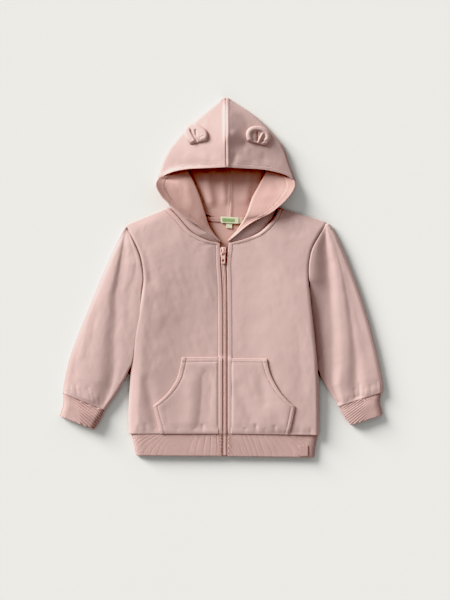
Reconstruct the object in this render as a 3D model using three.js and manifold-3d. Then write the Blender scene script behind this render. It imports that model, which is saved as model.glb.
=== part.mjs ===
// A child's zip-up hooded sweatshirt with two small round ears on its hood, laid flat on its back.
// Millimetres. +Z is up off the surface, +Y runs from the hem to the top of the hood, and "left" is
// the -X side. The origin is at the middle of the footprint, at the height of the surface.

import * as THREE from "three";
import { mergeVertices } from "three/addons/utils/BufferGeometryUtils.js";
import Module from "manifold-3d";

const wasm = await Module();
wasm.setup();

// ---- Driving sizes ----

const FLEECE = 2.2;              // brushed sweatshirt fleece
const RIB = 2.6;                 // knitted rib of the cuffs and the hem band
const TAPE = 1.0;                // woven zip tape, neck tape and labels
const SEAM = 0.3;                // gap between pieces that are sewn together
const LAID = 0.6;                // clearance under a piece that lies on a curved panel
const PLATEAU = 7.0;             // mid height of the upper layer where the two layers stand apart
const ROLL = 11;                 // width over which a side edge rounds down to the layer below
const FOLD_RADIUS = 1.7;         // mid radius of a fold along an edge
const STACKED = 1.5 * FLEECE + SEAM;   // mid height of a layer that lies on the lower one
const ARMHOLE_Z = 5.6;           // mid height where a sleeve is sewn to a front
const FRONT_EDGE_Z = 6.3;        // mid height of the front edges beside the zip
const HEM_TOP_Z = 6.3;           // mid height of the hem band's upper layer
const CROWN_PEAK = 30;           // height of the crown's centre seam at its front edge
const CROWN_TIP = 8;             // height of the centre seam at the top of the hood
const HOOD_TIP_Y = 288;
const CROWN_EDGE_Y = 174.5;
const HEM_BOTTOM_Y = -286;

// ---- Sections ----
// Fronts: each row runs from the shoulder, armhole or side edge to the neckline or front edge.
// sideX, sideY, innerX, innerY. Row 4 is the top corner of the front edge.
const FRONT_CORNER_ROW = 4;
const FRONT_LEFT = [
  [-153, 84, -85, 112],
  [-143, 65, -69, 97],
  [-132, 42, -48, 73],
  [-127, 24, -24, 60],
  [-124.5, 8, -2, 55],
  [-124, -6, -1.5, 25],
  [-126, -22, 0, -10],
  [-131, -55, 0.8, -48],
  [-139, -91, 1, -88],
  [-143, -130, 1, -128],
  [-146, -170, 1, -168],
  [-148, -210, 1, -208],
  [-148, -247, 1, -248],
];
const FRONT_RIGHT = [
  [169, 88, 90, 112],
  [156, 69, 82, 94],
  [144, 46, 62, 73],
  [139.5, 27, 38, 62],
  [138, 12, 12, 55],
  [138.5, -2, 8.5, 25],
  [140, -17, 9.2, -8],
  [144, -55, 9.7, -48],
  [148, -91, 10, -88],
  [152, -130, 10, -128],
  [155, -170, 10, -168],
  [156, -210, 10, -208],
  [156, -249.5, 10, -248],
];

// Back neckline: x, y where the back panel meets the hood.
const BACK_NECKLINE = [[-153, 84], [-85, 112], [12.5, 87], [90, 111], [169, 88]];

// Sleeves: each row runs from the outer fold to the edge that is sewn to the body or to itself.
// outerX, outerY, innerX, innerY. The first seven rows follow the armhole and the rest the underarm.
const UNDERARM_ROW = 6;
const SLEEVE_LEFT = [
  [-156, 80.5, -152.4, 81.6],
  [-167, 59, -144.6, 65],
  [-178, 36, -132.8, 42],
  [-186, 18, -127.8, 24],
  [-193, 2, -125.3, 8],
  [-199, -13, -124.8, -6],
  [-206, -30, -126.8, -22],
  [-219, -62, -131.8, -55],
  [-232, -94, -140.4, -91],
  [-243, -124, -144.2, -130],
  [-248, -143, -148.5, -151],
  [-251, -157, -159, -171],
  [-253.5, -170, -171, -191],
  [-255, -184, -187, -212],
];
const SLEEVE_RIGHT = [
  [174.5, 84.5, 168.2, 85.2],
  [185, 66, 157.6, 69],
  [196, 43, 144.8, 46],
  [203.5, 24, 140.3, 27],
  [209, 10, 138.8, 12],
  [214, -3, 139.3, -2],
  [219, -17, 140.8, -17],
  [230, -50, 144.8, -55],
  [241, -88, 148.8, -91],
  [249, -120, 152.8, -130],
  [254, -144, 157, -154],
  [257, -158, 168, -174],
  [259, -170, 178, -190],
  [260, -182, 188, -205],
];

// Cuffs: outerX, outerY, innerX, innerY from the sleeve's end to the open end.
const CUFF_LEFT = [[-253.5, -186.5, -188, -214], [-254.5, -203, -195, -227], [-260, -221, -204, -243]];
const CUFF_RIGHT = [[256.5, -184.5, 189, -207.5], [254.5, -200, 196.5, -221], [259, -219.5, 208, -236]];

// Hem band: leftX, leftY, centreY, rightX, rightY from its seam to the bottom edge.
const HEM_BAND = [[-145, -248.7, -249.6, 154.5, -251], [-141, -267, -267, 151.5, -269.5],
  [-137, -285, -286, 149, -288]];

// Pockets: edgeX, edgeY, innerX, innerY from the top edge down, on the fronts. Row 6 is the corner
// at the foot of the curved opening.
const POCKET_CORNER_ROW = 6;
const POCKET_LEFT = [
  [-63, -127.5, -7, -127],
  [-66, -144, -7, -142],
  [-70, -159, -7, -157],
  [-76, -171, -7, -171],
  [-87, -186, -7, -185],
  [-101, -199, -7, -198],
  [-109, -205, -7, -208],
  [-104, -224, -7, -226],
  [-98, -245, -7, -244.5],
];
const POCKET_RIGHT = [
  [73, -129.5, 17, -129],
  [75, -142, 17, -142],
  [79, -155, 17, -156],
  [85, -168, 17, -170],
  [95, -184, 17, -185],
  [108, -198.5, 17, -199],
  [118, -206.5, 17, -209],
  [114, -227, 17, -228],
  [109, -246.5, 17, -245],
];

// Hood panels: foldX, foldY is the outline. crownX, crownY is where the upper layer ends, on the
// centre seam down to row 5 and then on the front edge. backX, backY is the lower layer's end.
const CROWN_CORNER_ROW = 5;
const HOOD_LEFT = [
  [1.5, 287, 7, 288, 7.5, 288],
  [-10, 278, 7, 268, 8, 268],
  [-22, 268.5, 7, 250.5, 9, 249],
  [-44, 250, 7, 223, 10.5, 217],
  [-66, 229, 7.5, 194, 13, 185],
  [-81, 211, 8, CROWN_EDGE_Y, 14.5, 164],
  [-90, 196, -28, 173, 15, 146],
  [-95, 184, -53, 172, 15, 135],
  [-98, 173, -74, 168.5, 14.5, 126],
  [-101, 161, -91, 162.5, 14, 116],
  [-105.5, 148, -99.5, 151.5, 13, 108],
  [-98, 136, -92.5, 134.5, 12.5, 101],
  [-90, 125, -84.5, 123.5, 12.5, 95],
  [-83, 115.5, -77.5, 114, 12.5, 90],
];
const HOOD_RIGHT = [
  [13, 286, 7, 288, 7.5, 288],
  [28, 276, 7, 268, 8, 268],
  [44, 266, 7, 250.5, 9, 249],
  [65, 249.5, 7, 223, 10.5, 217],
  [85, 228, 7.5, 194, 13, 185],
  [97, 214, 8, CROWN_EDGE_Y, 14.5, 164],
  [104, 200, 39, 173, 15, 146],
  [108, 187, 62, 172, 15, 135],
  [112, 175, 84, 168.5, 14.5, 126],
  [116, 163, 104, 162.5, 14, 116],
  [119.5, 149, 113, 151.5, 13, 108],
  [111, 136, 105.5, 134.5, 12.5, 101],
  [101, 124, 95.5, 122.5, 12.5, 95],
  [90, 114.5, 84.5, 113, 12.5, 90],
];

// Turned-out front edge of each side of the hood, from under the crown down to the top of the zip:
// rootX, rootY, rootZ, ridgeX, ridgeY, ridgeZ, edgeX, edgeY, edgeZ. The cloth runs in from its root to
// a low fold, and comes back over itself to an edge that stands up.
const TURNOUT_LEFT = [
  [-72, 162, 3.8, -57, 180, 9.5, -76, 171, 7],
  [-82, 150, 4, -53, 168, 11.5, -90, 157, 8],
  [-88, 140, 4.4, -43, 150, 11, -103, 146, 11],
  [-82, 123, 4.4, -34, 127, 10.8, -96, 130, 16.5],
  [-74, 113, 4.6, -28, 107, 10.8, -85, 118, 20],
  [-67, 99, 5.4, -25, 97, 10.8, -68, 104, 21.5],
  [-57, 87, 5.6, -22.5, 89, 10.6, -54, 93, 21],
  [-46, 77.5, 5.8, -19.5, 81, 10.4, -41, 85.5, 19],
  [-34, 69.5, 6, -14.5, 74, 10.2, -28, 77, 16.5],
  [-20, 63, 6, -8, 66, 10, -15, 68, 13.5],
  [-7, 59, 6, 0, 60.5, 9.8, -4, 62, 10.6],
];
const TURNOUT_RIGHT = [
  [86, 160, 3.8, 74, 179, 9, 91, 169, 6.6],
  [96, 149, 4, 72, 168, 11, 104, 156.5, 7.4],
  [102, 141, 4.4, 61, 149, 11, 117, 147, 11],
  [91, 126, 4.4, 50, 127, 10.8, 109, 131, 15],
  [81, 114.5, 4.6, 44, 108, 10.8, 96, 117, 17.5],
  [79, 96, 5.4, 39, 98, 10.8, 80, 103, 18.5],
  [68, 82, 5.6, 35.5, 91, 10.8, 65, 95.5, 18.5],
  [55, 72.5, 5.8, 31, 83.5, 10.6, 50, 88, 17.5],
  [40, 65.5, 6, 25.5, 76, 10.4, 37, 79, 15.5],
  [25, 61.5, 6, 18.5, 68, 10, 25, 70, 13],
  [17, 59, 6, 12.5, 62, 9.8, 17, 64, 10.6],
];

// Ears: leftX, leftY, rightX, rightY from the base that is sewn to the crown to the round tip.
const EAR_LEFT = [[-50, 212, -23, 217], [-57, 222, -21.5, 226], [-60, 233, -24, 234],
  [-57, 242, -31, 240.5], [-50, 246.5, -39, 246]];
const EAR_RIGHT = [[41, 217, 71, 210], [39, 228, 78, 221], [42, 236, 77, 231],
  [48, 240.5, 71, 238], [55, 242.5, 64, 241.5]];
const EAR_THICKNESS = 7.5;
const EAR_RIM = 2.4;

// Main folds of the upper layer: x1, y1, x2, y2, x3, y3, half width, rise (down is negative).
const SLEEVE_FOLDS = [
  [-156, 62, -173, -30, -177, -190, 8, -3.2],
  [-150, 40, -150, -40, -158, -150, 9, 1.0],
  [186, 30, 206, -90, 212, -175, 10, -2.4],
  [172, 60, 178, -60, 190, -180, 9, 0.9],
  [165, 60, 155, -20, 163, -160, 9, -2.6],
];
const BODY_FOLDS = [
  [-136, 60, -112, 10, -118, -110, 11, -1.2],
  [-112, -115, -90, -90, -60, -60, 16, -0.9],
  [128, 30, 132, -60, 138, -180, 10, -1.0],
  [60, -60, 80, -130, 120, -230, 18, 0.8],
];

// ---- Curves and heights ----

const clamp01 = (t) => Math.min(1, Math.max(0, t));
const mix = (a, b, t) => a + (b - a) * t;
const distance = (a, b) => Math.hypot(a[0] - b[0], a[1] - b[1]);
const along = (a, b, t) => [mix(a[0], b[0], t), mix(a[1], b[1], t)];
const rise = (t) => Math.sqrt(1 - (1 - clamp01(t)) ** 2);
const smooth = (t) => clamp01(t) ** 2 * (3 - 2 * clamp01(t));

// Smooth interpolation of a table at row position t, with a sharp corner kept at one row.
function rowAt(table, t, corner = -1) {
  const i = Math.min(Math.floor(t), table.length - 2);
  const s = t - i;
  return table[i].map((p1, column) => {
    const p2 = table[i + 1][column];
    const p0 = i === 0 || i === corner ? 2 * p1 - p2 : table[i - 1][column];
    const last = i + 2 > table.length - 1 || i + 1 === corner;
    const p3 = last ? 2 * p2 - p1 : table[i + 2][column];
    const bend = 2 * p0 - 5 * p1 + 4 * p2 - p3;
    return 0.5 * (2 * p1 + (p2 - p0) * s + bend * s ** 2 + (3 * p1 - p0 - 3 * p2 + p3) * s ** 3);
  });
}

// Sum of the folds at a point: a soft trough or ridge along each bent line.
function foldsAt(x, y, folds) {
  let sum = 0;
  for (const [x1, y1, x2, y2, x3, y3, width, height] of folds) {
    const away = Math.min(toSegment(x, y, x1, y1, x2, y2), toSegment(x, y, x2, y2, x3, y3));
    sum += height * Math.exp(-((away / width) ** 2));
  }
  return sum;
}

function toSegment(x, y, x1, y1, x2, y2) {
  const share = ((x - x1) * (x2 - x1) + (y - y1) * (y2 - y1)) / ((x2 - x1) ** 2 + (y2 - y1) ** 2);
  const t = clamp01(share);
  return Math.hypot(x - mix(x1, x2, t), y - mix(y1, y2, t));
}

// Mid height of a front at share u across row t.
function frontHeight(table, u, t) {
  const row = rowAt(table, t, FRONT_CORNER_ROW);
  const width = distance([row[0], row[1]], [row[2], row[3]]);
  const [x, y] = along([row[0], row[1]], [row[2], row[3]], u);
  const rowStep = 17;
  const side = mix(ARMHOLE_Z, STACKED, smooth(t - UNDERARM_ROW + 0.5));
  let z = PLATEAU;
  z -= (PLATEAU - side) * (1 - rise((u * width) / ROLL));
  z -= (PLATEAU - STACKED) * (1 - rise((t * rowStep) / ROLL));
  z -= (PLATEAU - FRONT_EDGE_Z) * (1 - rise(((1 - u) * width) / (2 * ROLL)));
  z += foldsAt(x, y, BODY_FOLDS) * smooth((u * width) / ROLL) * smooth(((1 - u) * width) / 30);
  return Math.max(z, STACKED);
}

// Outer height of the crown. It falls from the centre seam to the outline on each side.
function crownTop(x, y) {
  const down = Math.max(HOOD_TIP_Y - y, 1);
  const centre = 7.3;
  const full = Math.min(down, 103);
  const [spread, curve] = x < centre ? [1.6, 0.006] : [1.8, 0.0078];
  const halfWidth = full * (spread - curve * full) + 0.3 * (down - full);
  const share = clamp01(Math.abs(x - centre) / Math.max(halfWidth, 4));
  const peak = mix(CROWN_TIP, CROWN_PEAK, Math.sin((Math.PI / 2) * clamp01(down / 114)));
  const rim = 2 * FOLD_RADIUS + FLEECE;
  return rim + Math.max(peak - rim, 0) * (1 - share) ** 0.75;
}

// ---- Solids ----

// A closed wall of even thickness on both sides of a grid of mid points. grid[row][column] = [x, y, z].
function wall(grid, thickness) {
  const rows = grid.length;
  const columns = grid[0].length;
  const point = (r, c) => new THREE.Vector3(...grid[r][c]);
  const upper = [];
  const lower = [];
  for (let r = 0; r < rows; r++) {
    for (let c = 0; c < columns; c++) {
      const across = point(r, Math.min(c + 1, columns - 1)).sub(point(r, Math.max(c - 1, 0)));
      const down = point(Math.min(r + 1, rows - 1), c).sub(point(Math.max(r - 1, 0), c));
      const normal = across.cross(down).normalize().multiplyScalar(thickness / 2);
      upper.push(point(r, c).add(normal));
      lower.push(point(r, c).sub(normal));
    }
  }
  return between(upper, lower, rows, columns);
}

// A closed solid between two grids of points, upper and lower, each listed row by row.
function between(upper, lower, rows, columns) {
  const index = [];
  const at = (r, c) => r * columns + c;
  const below = (r, c) => rows * columns + at(r, c);
  const quad = (a, b, c, d) => index.push(a, b, c, a, c, d);
  for (let r = 0; r < rows - 1; r++) {
    for (let c = 0; c < columns - 1; c++) {
      quad(at(r, c), at(r, c + 1), at(r + 1, c + 1), at(r + 1, c));
      quad(below(r, c), below(r + 1, c), below(r + 1, c + 1), below(r, c + 1));
    }
  }
  for (let c = 0; c < columns - 1; c++) {
    quad(at(0, c), below(0, c), below(0, c + 1), at(0, c + 1));
    quad(at(rows - 1, c + 1), below(rows - 1, c + 1), below(rows - 1, c), at(rows - 1, c));
  }
  for (let r = 0; r < rows - 1; r++) {
    quad(at(r + 1, 0), below(r + 1, 0), below(r, 0), at(r, 0));
    quad(at(r, columns - 1), below(r, columns - 1), below(r + 1, columns - 1), at(r + 1, columns - 1));
  }
  const geometry = new THREE.BufferGeometry();
  const places = [...upper, ...lower].flatMap((p) => [p.x, p.y, p.z]);
  geometry.setAttribute("position", new THREE.Float32BufferAttribute(places, 3));
  geometry.setIndex(index);
  return geometry;
}

// Grid of a panel whose rows come from a table, with its mid height from height(u, t, x, y).
function panelGrid(table, corner, perRow, columns, height) {
  const grid = [];
  const last = (table.length - 1) * perRow;
  for (let step = 0; step <= last; step++) {
    const t = step / perRow;
    const row = rowAt(table, t, corner);
    const points = [];
    for (let c = 0; c <= columns; c++) {
      const [x, y] = along([row[0], row[1]], [row[2], row[3]], c / columns);
      points.push([x, y, height(c / columns, t, x, y)]);
    }
    grid.push(points);
  }
  return grid;
}

// One section of cloth that is folded over at an edge: along the lower layer from its end to the
// fold, round the fold, and along the upper layer to its end, at cover(x, y, fromFold, fromEnd).
function foldedSection(lowerEnd, fold, upperEnd, thickness, counts, cover) {
  const points = [];
  const room = distance(fold, upperEnd) - thickness / 2;
  const radius = Math.min(FOLD_RADIUS, 0.6 * room);
  const centreShare = (to) => (radius + thickness / 2) / distance(fold, to);
  const lowerStart = along(fold, lowerEnd, centreShare(lowerEnd));
  const upperStart = along(fold, upperEnd, centreShare(upperEnd));
  const base = thickness / 2;
  for (let i = 0; i < counts.lower; i++) {
    points.push([...along(lowerEnd, lowerStart, i / counts.lower), base]);
  }
  for (let i = 0; i < counts.fold; i++) {
    const angle = (Math.PI * i) / counts.fold;
    const centre = along(lowerStart, upperStart, i / counts.fold);
    const out = [fold[0] - centre[0], fold[1] - centre[1]];
    const reach = (radius * Math.sin(angle)) / Math.hypot(...out);
    const z = base + radius * (1 - Math.cos(angle));
    points.push([centre[0] + out[0] * reach, centre[1] + out[1] * reach, z]);
  }
  const length = distance(upperStart, upperEnd);
  for (let i = 0; i <= counts.upper; i++) {
    const share = i / counts.upper;
    const [x, y] = along(upperStart, upperEnd, share);
    points.push([x, y, cover(x, y, share * length, (1 - share) * length, base + 2 * radius)]);
  }
  return points;
}

function sleeve(table) {
  const counts = { lower: 4, fold: 3, upper: 8 };
  const grid = table.map((row, t) => {
    const [outer, inner] = [[row[0], row[1]], [row[2], row[3]]];
    const end = mix(ARMHOLE_Z, STACKED, smooth(t - UNDERARM_ROW + 1));
    const cover = (x, y, fromFold, fromEnd, foldTop) => {
      const width = fromFold + fromEnd;
      const top = mix(end, PLATEAU, smooth(width / 50));
      const away = smooth(fromFold / ROLL) * smooth(fromEnd / ROLL);
      let z = top - (top - foldTop) * (1 - rise(fromFold / ROLL));
      z -= (top - end) * (1 - rise(fromEnd / ROLL));
      return Math.max(z + away * foldsAt(x, y, SLEEVE_FOLDS), STACKED);
    };
    return foldedSection(inner, outer, inner, FLEECE, counts, cover);
  });
  return wall(grid, FLEECE);
}

function cuff(table) {
  const counts = { lower: 4, fold: 3, upper: 6 };
  const stacked = 1.5 * RIB + SEAM;
  const grid = [0, 0.5, 1, 1.5, 2].map((t) => {
    const row = rowAt(table, t);
    const cover = (x, y, fromFold, fromEnd, foldTop) => {
      const z = PLATEAU - (PLATEAU - foldTop) * (1 - rise(fromFold / ROLL));
      return z - (PLATEAU - stacked) * (1 - rise(fromEnd / ROLL));
    };
    const [outer, inner] = [[row[0], row[1]], [row[2], row[3]]];
    return foldedSection(inner, outer, inner, RIB, counts, cover);
  });
  return wall(grid, RIB);
}

// The hem band goes round the body from one front edge to the other.
function hemBand() {
  const counts = { lower: 6, fold: 3, upper: 8 };
  const edges = { left: 1, right: 9.8 };
  const cover = (x, y, fromFold, fromEnd, foldTop) =>
    HEM_TOP_Z - (HEM_TOP_Z - foldTop) * (1 - rise(fromFold / ROLL));
  const grid = [0, 1, 2].map((t) => {
    const [leftX, leftY, centreY, rightX, rightY] = HEM_BAND[t];
    const middle = [(edges.left + edges.right) / 2, centreY];
    const left = foldedSection(middle, [leftX, leftY], [edges.left, centreY], RIB, counts, cover);
    const right = foldedSection(middle, [rightX, rightY], [edges.right, centreY], RIB, counts, cover);
    return [...left.reverse(), ...right.slice(1)];
  });
  return wall(grid, RIB);
}

function front(table) {
  const height = (u, t) => frontHeight(table, u, t);
  return wall(panelGrid(table, FRONT_CORNER_ROW, 2, 8, height), FLEECE);
}

// The back lies flat. Its top edge follows the shoulders and the back neckline.
function back() {
  const columns = 16;
  const bend = [1, 0.8, 0.6, 0.42, 0.28, 0.16, 0.07];
  const grid = FRONT_LEFT.map((left, r) => {
    const right = FRONT_RIGHT[r];
    const points = [];
    for (let c = 0; c <= columns; c++) {
      const [x, y] = along([left[0], left[1]], [right[0], right[1]], c / columns);
      const straight = mix(FRONT_LEFT[0][1], FRONT_RIGHT[0][1], c / columns);
      points.push([x, y + (bend[r] ?? 0) * (backTop(x) - straight), FLEECE / 2]);
    }
    return points;
  });
  return wall(grid, FLEECE);
}

function backTop(x) {
  const i = Math.max(BACK_NECKLINE.findLastIndex((p) => p[0] <= x), 0);
  const [from, to] = [BACK_NECKLINE[i], BACK_NECKLINE[Math.min(i + 1, BACK_NECKLINE.length - 1)]];
  return from === to ? from[1] : mix(from[1], to[1], clamp01((x - from[0]) / (to[0] - from[0])));
}

// A pocket lies on its front, one thickness and a small clearance above it.
function pocket(table, frontTable) {
  const lift = FLEECE + LAID;
  const height = (u, t, x, y) => lift + heightOfFront(frontTable, x, y);
  return wall(panelGrid(table, POCKET_CORNER_ROW, 1, 7, height), FLEECE);
}

function heightOfFront(table, x, y) {
  let [low, high] = [FRONT_CORNER_ROW, table.length - 1];
  for (let i = 0; i < 24; i++) {
    const t = (low + high) / 2;
    const row = rowAt(table, t, FRONT_CORNER_ROW);
    const u = (x - row[0]) / (row[2] - row[0]);
    if (mix(row[1], row[3], u) > y) low = t;
    else high = t;
  }
  const row = rowAt(table, low, FRONT_CORNER_ROW);
  return frontHeight(table, clamp01((x - row[0]) / (row[2] - row[0])), low);
}

// Half of the hood: the part that lies under the head, folded over at the outline, and the crown.
function hood(table, side) {
  const counts = { lower: 6, fold: 3, upper: 8 };
  const grid = table.map((row, t) => {
    const fold = [row[0], row[1]];
    const crown = [row[2] + 2 * side * SEAM, row[3]];
    const under = [row[4] + side * SEAM, row[5]];
    const cover = (x, y, fromFold, fromEnd, foldTop) => {
      const lip = t > CROWN_CORNER_ROW + 4 || t === 0;
      return lip ? foldTop + 0.2 : crownTop(x, y) - FLEECE / 2;
    };
    return foldedSection(under, fold, crown, FLEECE, counts, cover);
  });
  return wall(grid, FLEECE);
}

// The turned-out front edge of one side of the hood.
function turnout(table) {
  const legSteps = 4;
  const turnSteps = 4;
  const grid = table.map((row) => {
    const [root, ridge, edge] = [row.slice(0, 3), row.slice(3, 6), row.slice(6, 9)];
    const radius = Math.min(3, 0.28 * (ridge[2] - root[2]) + 0.7);
    const lean = (end) => radius / distance(ridge, end);
    const first = [...along(ridge, root, lean(root)), ridge[2] - 2 * radius];
    const second = [...along(ridge, edge, lean(edge)), ridge[2]];
    const points = [];
    for (let i = 0; i < legSteps; i++) {
      const t = i / legSteps;
      points.push([...along(root, first, t), mix(root[2], first[2], t)]);
    }
    for (let i = 0; i < turnSteps; i++) {
      const angle = (Math.PI * i) / turnSteps;
      const centre = along(first, second, i / turnSteps);
      const reach = Math.sin(angle);
      const z = ridge[2] - radius * (1 + Math.cos(angle));
      points.push([mix(centre[0], ridge[0], reach), mix(centre[1], ridge[1], reach), z]);
    }
    for (let i = 0; i <= legSteps; i++) {
      const t = i / legSteps;
      const crown = 1.2 * Math.sin(Math.PI * t);
      points.push([...along(second, edge, t), mix(second[2], edge[2], t) + crown]);
    }
    return points;
  });
  return wall(grid, FLEECE);
}

// An ear is a lightly padded disc, gathered along its base, that lies on the crown.
function ear(table) {
  const [rows, columns] = [7, 8];
  const [upper, lower] = [[], []];
  for (let r = 0; r < rows; r++) {
    const row = rowAt(table, ((table.length - 1) * r) / (rows - 1));
    for (let c = 0; c < columns; c++) {
      const u = c / (columns - 1);
      const [x, y] = along([row[0], row[1]], [row[2], row[3]], u);
      const z = crownTop(x, y) + LAID;
      const round = Math.sin(Math.PI * u) ** 0.6 * Math.sin(Math.PI * mix(0.3, 1, r / (rows - 1))) ** 0.6;
      lower.push(new THREE.Vector3(x, y, z));
      upper.push(new THREE.Vector3(x, y, z + mix(EAR_RIM, EAR_THICKNESS, round)));
    }
  }
  return between(upper.reverse(), lower.reverse(), rows, columns);
}

// A flat strip of tape or label between two corner points of a slightly turned rectangle.
function strip(left, right, bottom, top, z, turn = 0) {
  const grid = [top, bottom].map((y) => [0, 0.25, 0.5, 0.75, 1].map((t) => {
    const x = mix(left, right, t);
    return [x, y + turn * (x - left), z];
  }));
  return wall(grid, TAPE);
}

// The neck tape covers the seam between the hood and the back, and rises a little to each side.
function neckTape() {
  const [left, right, centre, height, width] = [-58, 74, 9, 89, 16];
  const grid = [1, 0].map((up) => {
    const points = [];
    for (let i = 0; i <= 12; i++) {
      const x = mix(left, right, i / 12);
      points.push([x, height + up * width + 0.0022 * (x - centre) ** 2, FLEECE + SEAM + TAPE / 2]);
    }
    return points;
  });
  return wall(grid, TAPE);
}

// ---- Zip ----

const ZIP_ROWS = [49, 40, 25, 5, -20, -60, -120, -180, -240, HEM_BOTTOM_Y];
const CHAIN = { width: 5.2, bottom: 5.0, top: 7.2 };
const ZIP_TAPE = { width: 8, z: 4.2 };
const SLIDER = { width: 9, plateBottom: 7.7, plateTop: 9.0, bottomY: 32, topY: 49, flange: 0.7 };
const BRIDGE = { width: 2.4, frontY: 36.2, backY: 47.4, post: 1.6, underside: 11.6, top: 13.2 };
const PULL = { width: 8, thickness: 1.6, tipY: 21.6, pivotY: 40.2, pivotZ: 10.3, eye: 3.6, bar: 0.8 };
const ZIP_X = 5.4;               // the closed zip's centre line over most of its length
const SLIDER_X = 2.9;            // the centre line at the slider, which sits a little to the left

const zipX = (y) => mix(ZIP_X, SLIDER_X, smooth((y + 20) / 55));

function zipTape(side) {
  const grid = ZIP_ROWS.map((y) => {
    const centre = zipX(y);
    const ends = [centre + side * SEAM, centre + side * (SEAM + ZIP_TAPE.width)];
    return ends.map((x) => [x, y, ZIP_TAPE.z]);
  });
  return wall(grid, TAPE);
}

function zipChain() {
  const grid = ZIP_ROWS.map((y) => {
    const half = CHAIN.width / 2;
    return [-half, half].map((x) => [zipX(y) + x, y, (CHAIN.bottom + CHAIN.top) / 2]);
  });
  return wall(grid, CHAIN.top - CHAIN.bottom);
}

function roundedRectangle(width, bottom, top, radius) {
  const half = width / 2;
  const shape = new THREE.Shape();
  shape.moveTo(-half + radius, bottom);
  shape.lineTo(half - radius, bottom);
  shape.absarc(half - radius, bottom + radius, radius, -Math.PI / 2, 0);
  shape.lineTo(half, top - radius);
  shape.absarc(half - radius, top - radius, radius, 0, Math.PI / 2);
  shape.lineTo(-half + radius, top);
  shape.absarc(-half + radius, top - radius, radius, Math.PI / 2, Math.PI);
  shape.lineTo(-half, bottom + radius);
  shape.absarc(-half + radius, bottom + radius, radius, Math.PI, 1.5 * Math.PI);
  return shape;
}

function asSolid(geometry) {
  const bare = geometry.clone();
  bare.deleteAttribute("normal");
  bare.deleteAttribute("uv");
  const merged = mergeVertices(bare);
  const vertProperties = new Float32Array(merged.attributes.position.array);
  const triVerts = new Uint32Array(merged.index.array);
  return new wasm.Manifold(new wasm.Mesh({ numProp: 3, vertProperties, triVerts }));
}

function asGeometry(solid) {
  const mesh = solid.getMesh();
  const geometry = new THREE.BufferGeometry();
  geometry.setAttribute("position", new THREE.Float32BufferAttribute(mesh.vertProperties, 3));
  geometry.setIndex([...mesh.triVerts]);
  return geometry;
}

// The slider's top plate, the two flanges that run down beside the chain, and the bridge that
// holds the pull tab.
function slider() {
  const { width, plateBottom, plateTop, bottomY, topY, flange } = SLIDER;
  const outline = roundedRectangle(width, bottomY, topY, 2.5);
  const plate = new THREE.ExtrudeGeometry(outline, {
    depth: plateTop - plateBottom, bevelEnabled: false, curveSegments: 4,
  });
  plate.translate(SLIDER_X, 0, plateBottom);
  let body = asSolid(plate);
  for (const side of [-1, 1]) {
    const deep = plateTop - CHAIN.bottom - 0.5;
    const rail = new THREE.BoxGeometry(flange, topY - bottomY - 8, deep);
    const x = SLIDER_X + side * (CHAIN.width / 2 + 0.7);
    rail.translate(x, (topY + bottomY) / 2, plateTop - 0.2 - deep / 2);
    body = body.add(asSolid(rail));
  }
  return asGeometry(body.add(asSolid(bridge())));
}

function bridge() {
  const { width, frontY, backY, post, underside, top } = BRIDGE;
  const base = SLIDER.plateTop - 0.3;
  const profile = new THREE.Shape();
  profile.moveTo(frontY, base);
  profile.lineTo(frontY + post, base);
  profile.lineTo(frontY + post, underside);
  profile.lineTo(backY - post, underside);
  profile.lineTo(backY - post, base);
  profile.lineTo(backY, base);
  profile.lineTo(backY, top - 1);
  profile.lineTo(backY - 1, top);
  profile.lineTo(frontY + 1, top);
  profile.lineTo(frontY, top - 1);
  profile.closePath();
  const geometry = new THREE.ExtrudeGeometry(profile, { depth: width, bevelEnabled: false });
  geometry.applyMatrix4(new THREE.Matrix4().set(0, 0, 1, 0, 1, 0, 0, 0, 0, 1, 0, 0, 0, 0, 0, 1));
  geometry.translate(SLIDER_X - width / 2, 0, 0);
  return geometry;
}

// The pull tab hangs from the bridge by the bar above its eye, and has a window near its tip.
function pullTab() {
  const { width, thickness, tipY, pivotY, pivotZ, eye, bar } = PULL;
  const outline = roundedRectangle(width, tipY, pivotY + bar, 2.2);
  const cut = (centreY, cutWidth, length) => {
    const hole = new THREE.Path();
    hole.moveTo(-cutWidth / 2, centreY - length / 2);
    hole.lineTo(-cutWidth / 2, centreY + length / 2);
    hole.lineTo(cutWidth / 2, centreY + length / 2);
    hole.lineTo(cutWidth / 2, centreY - length / 2);
    hole.closePath();
    outline.holes.push(hole);
  };
  const eyeBottom = BRIDGE.frontY - 1.5;
  cut((pivotY - bar + eyeBottom) / 2, eye, pivotY - bar - eyeBottom);
  cut(tipY + 5.4, 3.4, 4);
  const geometry = new THREE.ExtrudeGeometry(outline, {
    depth: thickness, bevelEnabled: false, curveSegments: 4,
  });
  return geometry.translate(SLIDER_X, 0, pivotZ - thickness / 2);
}

// ---- Assembly ----

const COLOURS = {
  fleece: [0xd0b0aa, 0.95],
  lit_fleece: [0xdcc0ba, 0.95],
  rib: [0xc9a7a0, 0.95],
  tape: [0xc8a39c, 0.9],
  plastic: [0xc49c96, 0.5],
  label: [0xe6e3cf, 0.8],
};

const sweatshirt = new THREE.Group();

function add(name, geometry, colour) {
  const [color, roughness] = COLOURS[colour];
  const material = new THREE.MeshStandardMaterial({ color, roughness, metalness: 0 });
  const mesh = new THREE.Mesh(geometry, material);
  mesh.name = name;
  sweatshirt.add(mesh);
}

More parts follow.
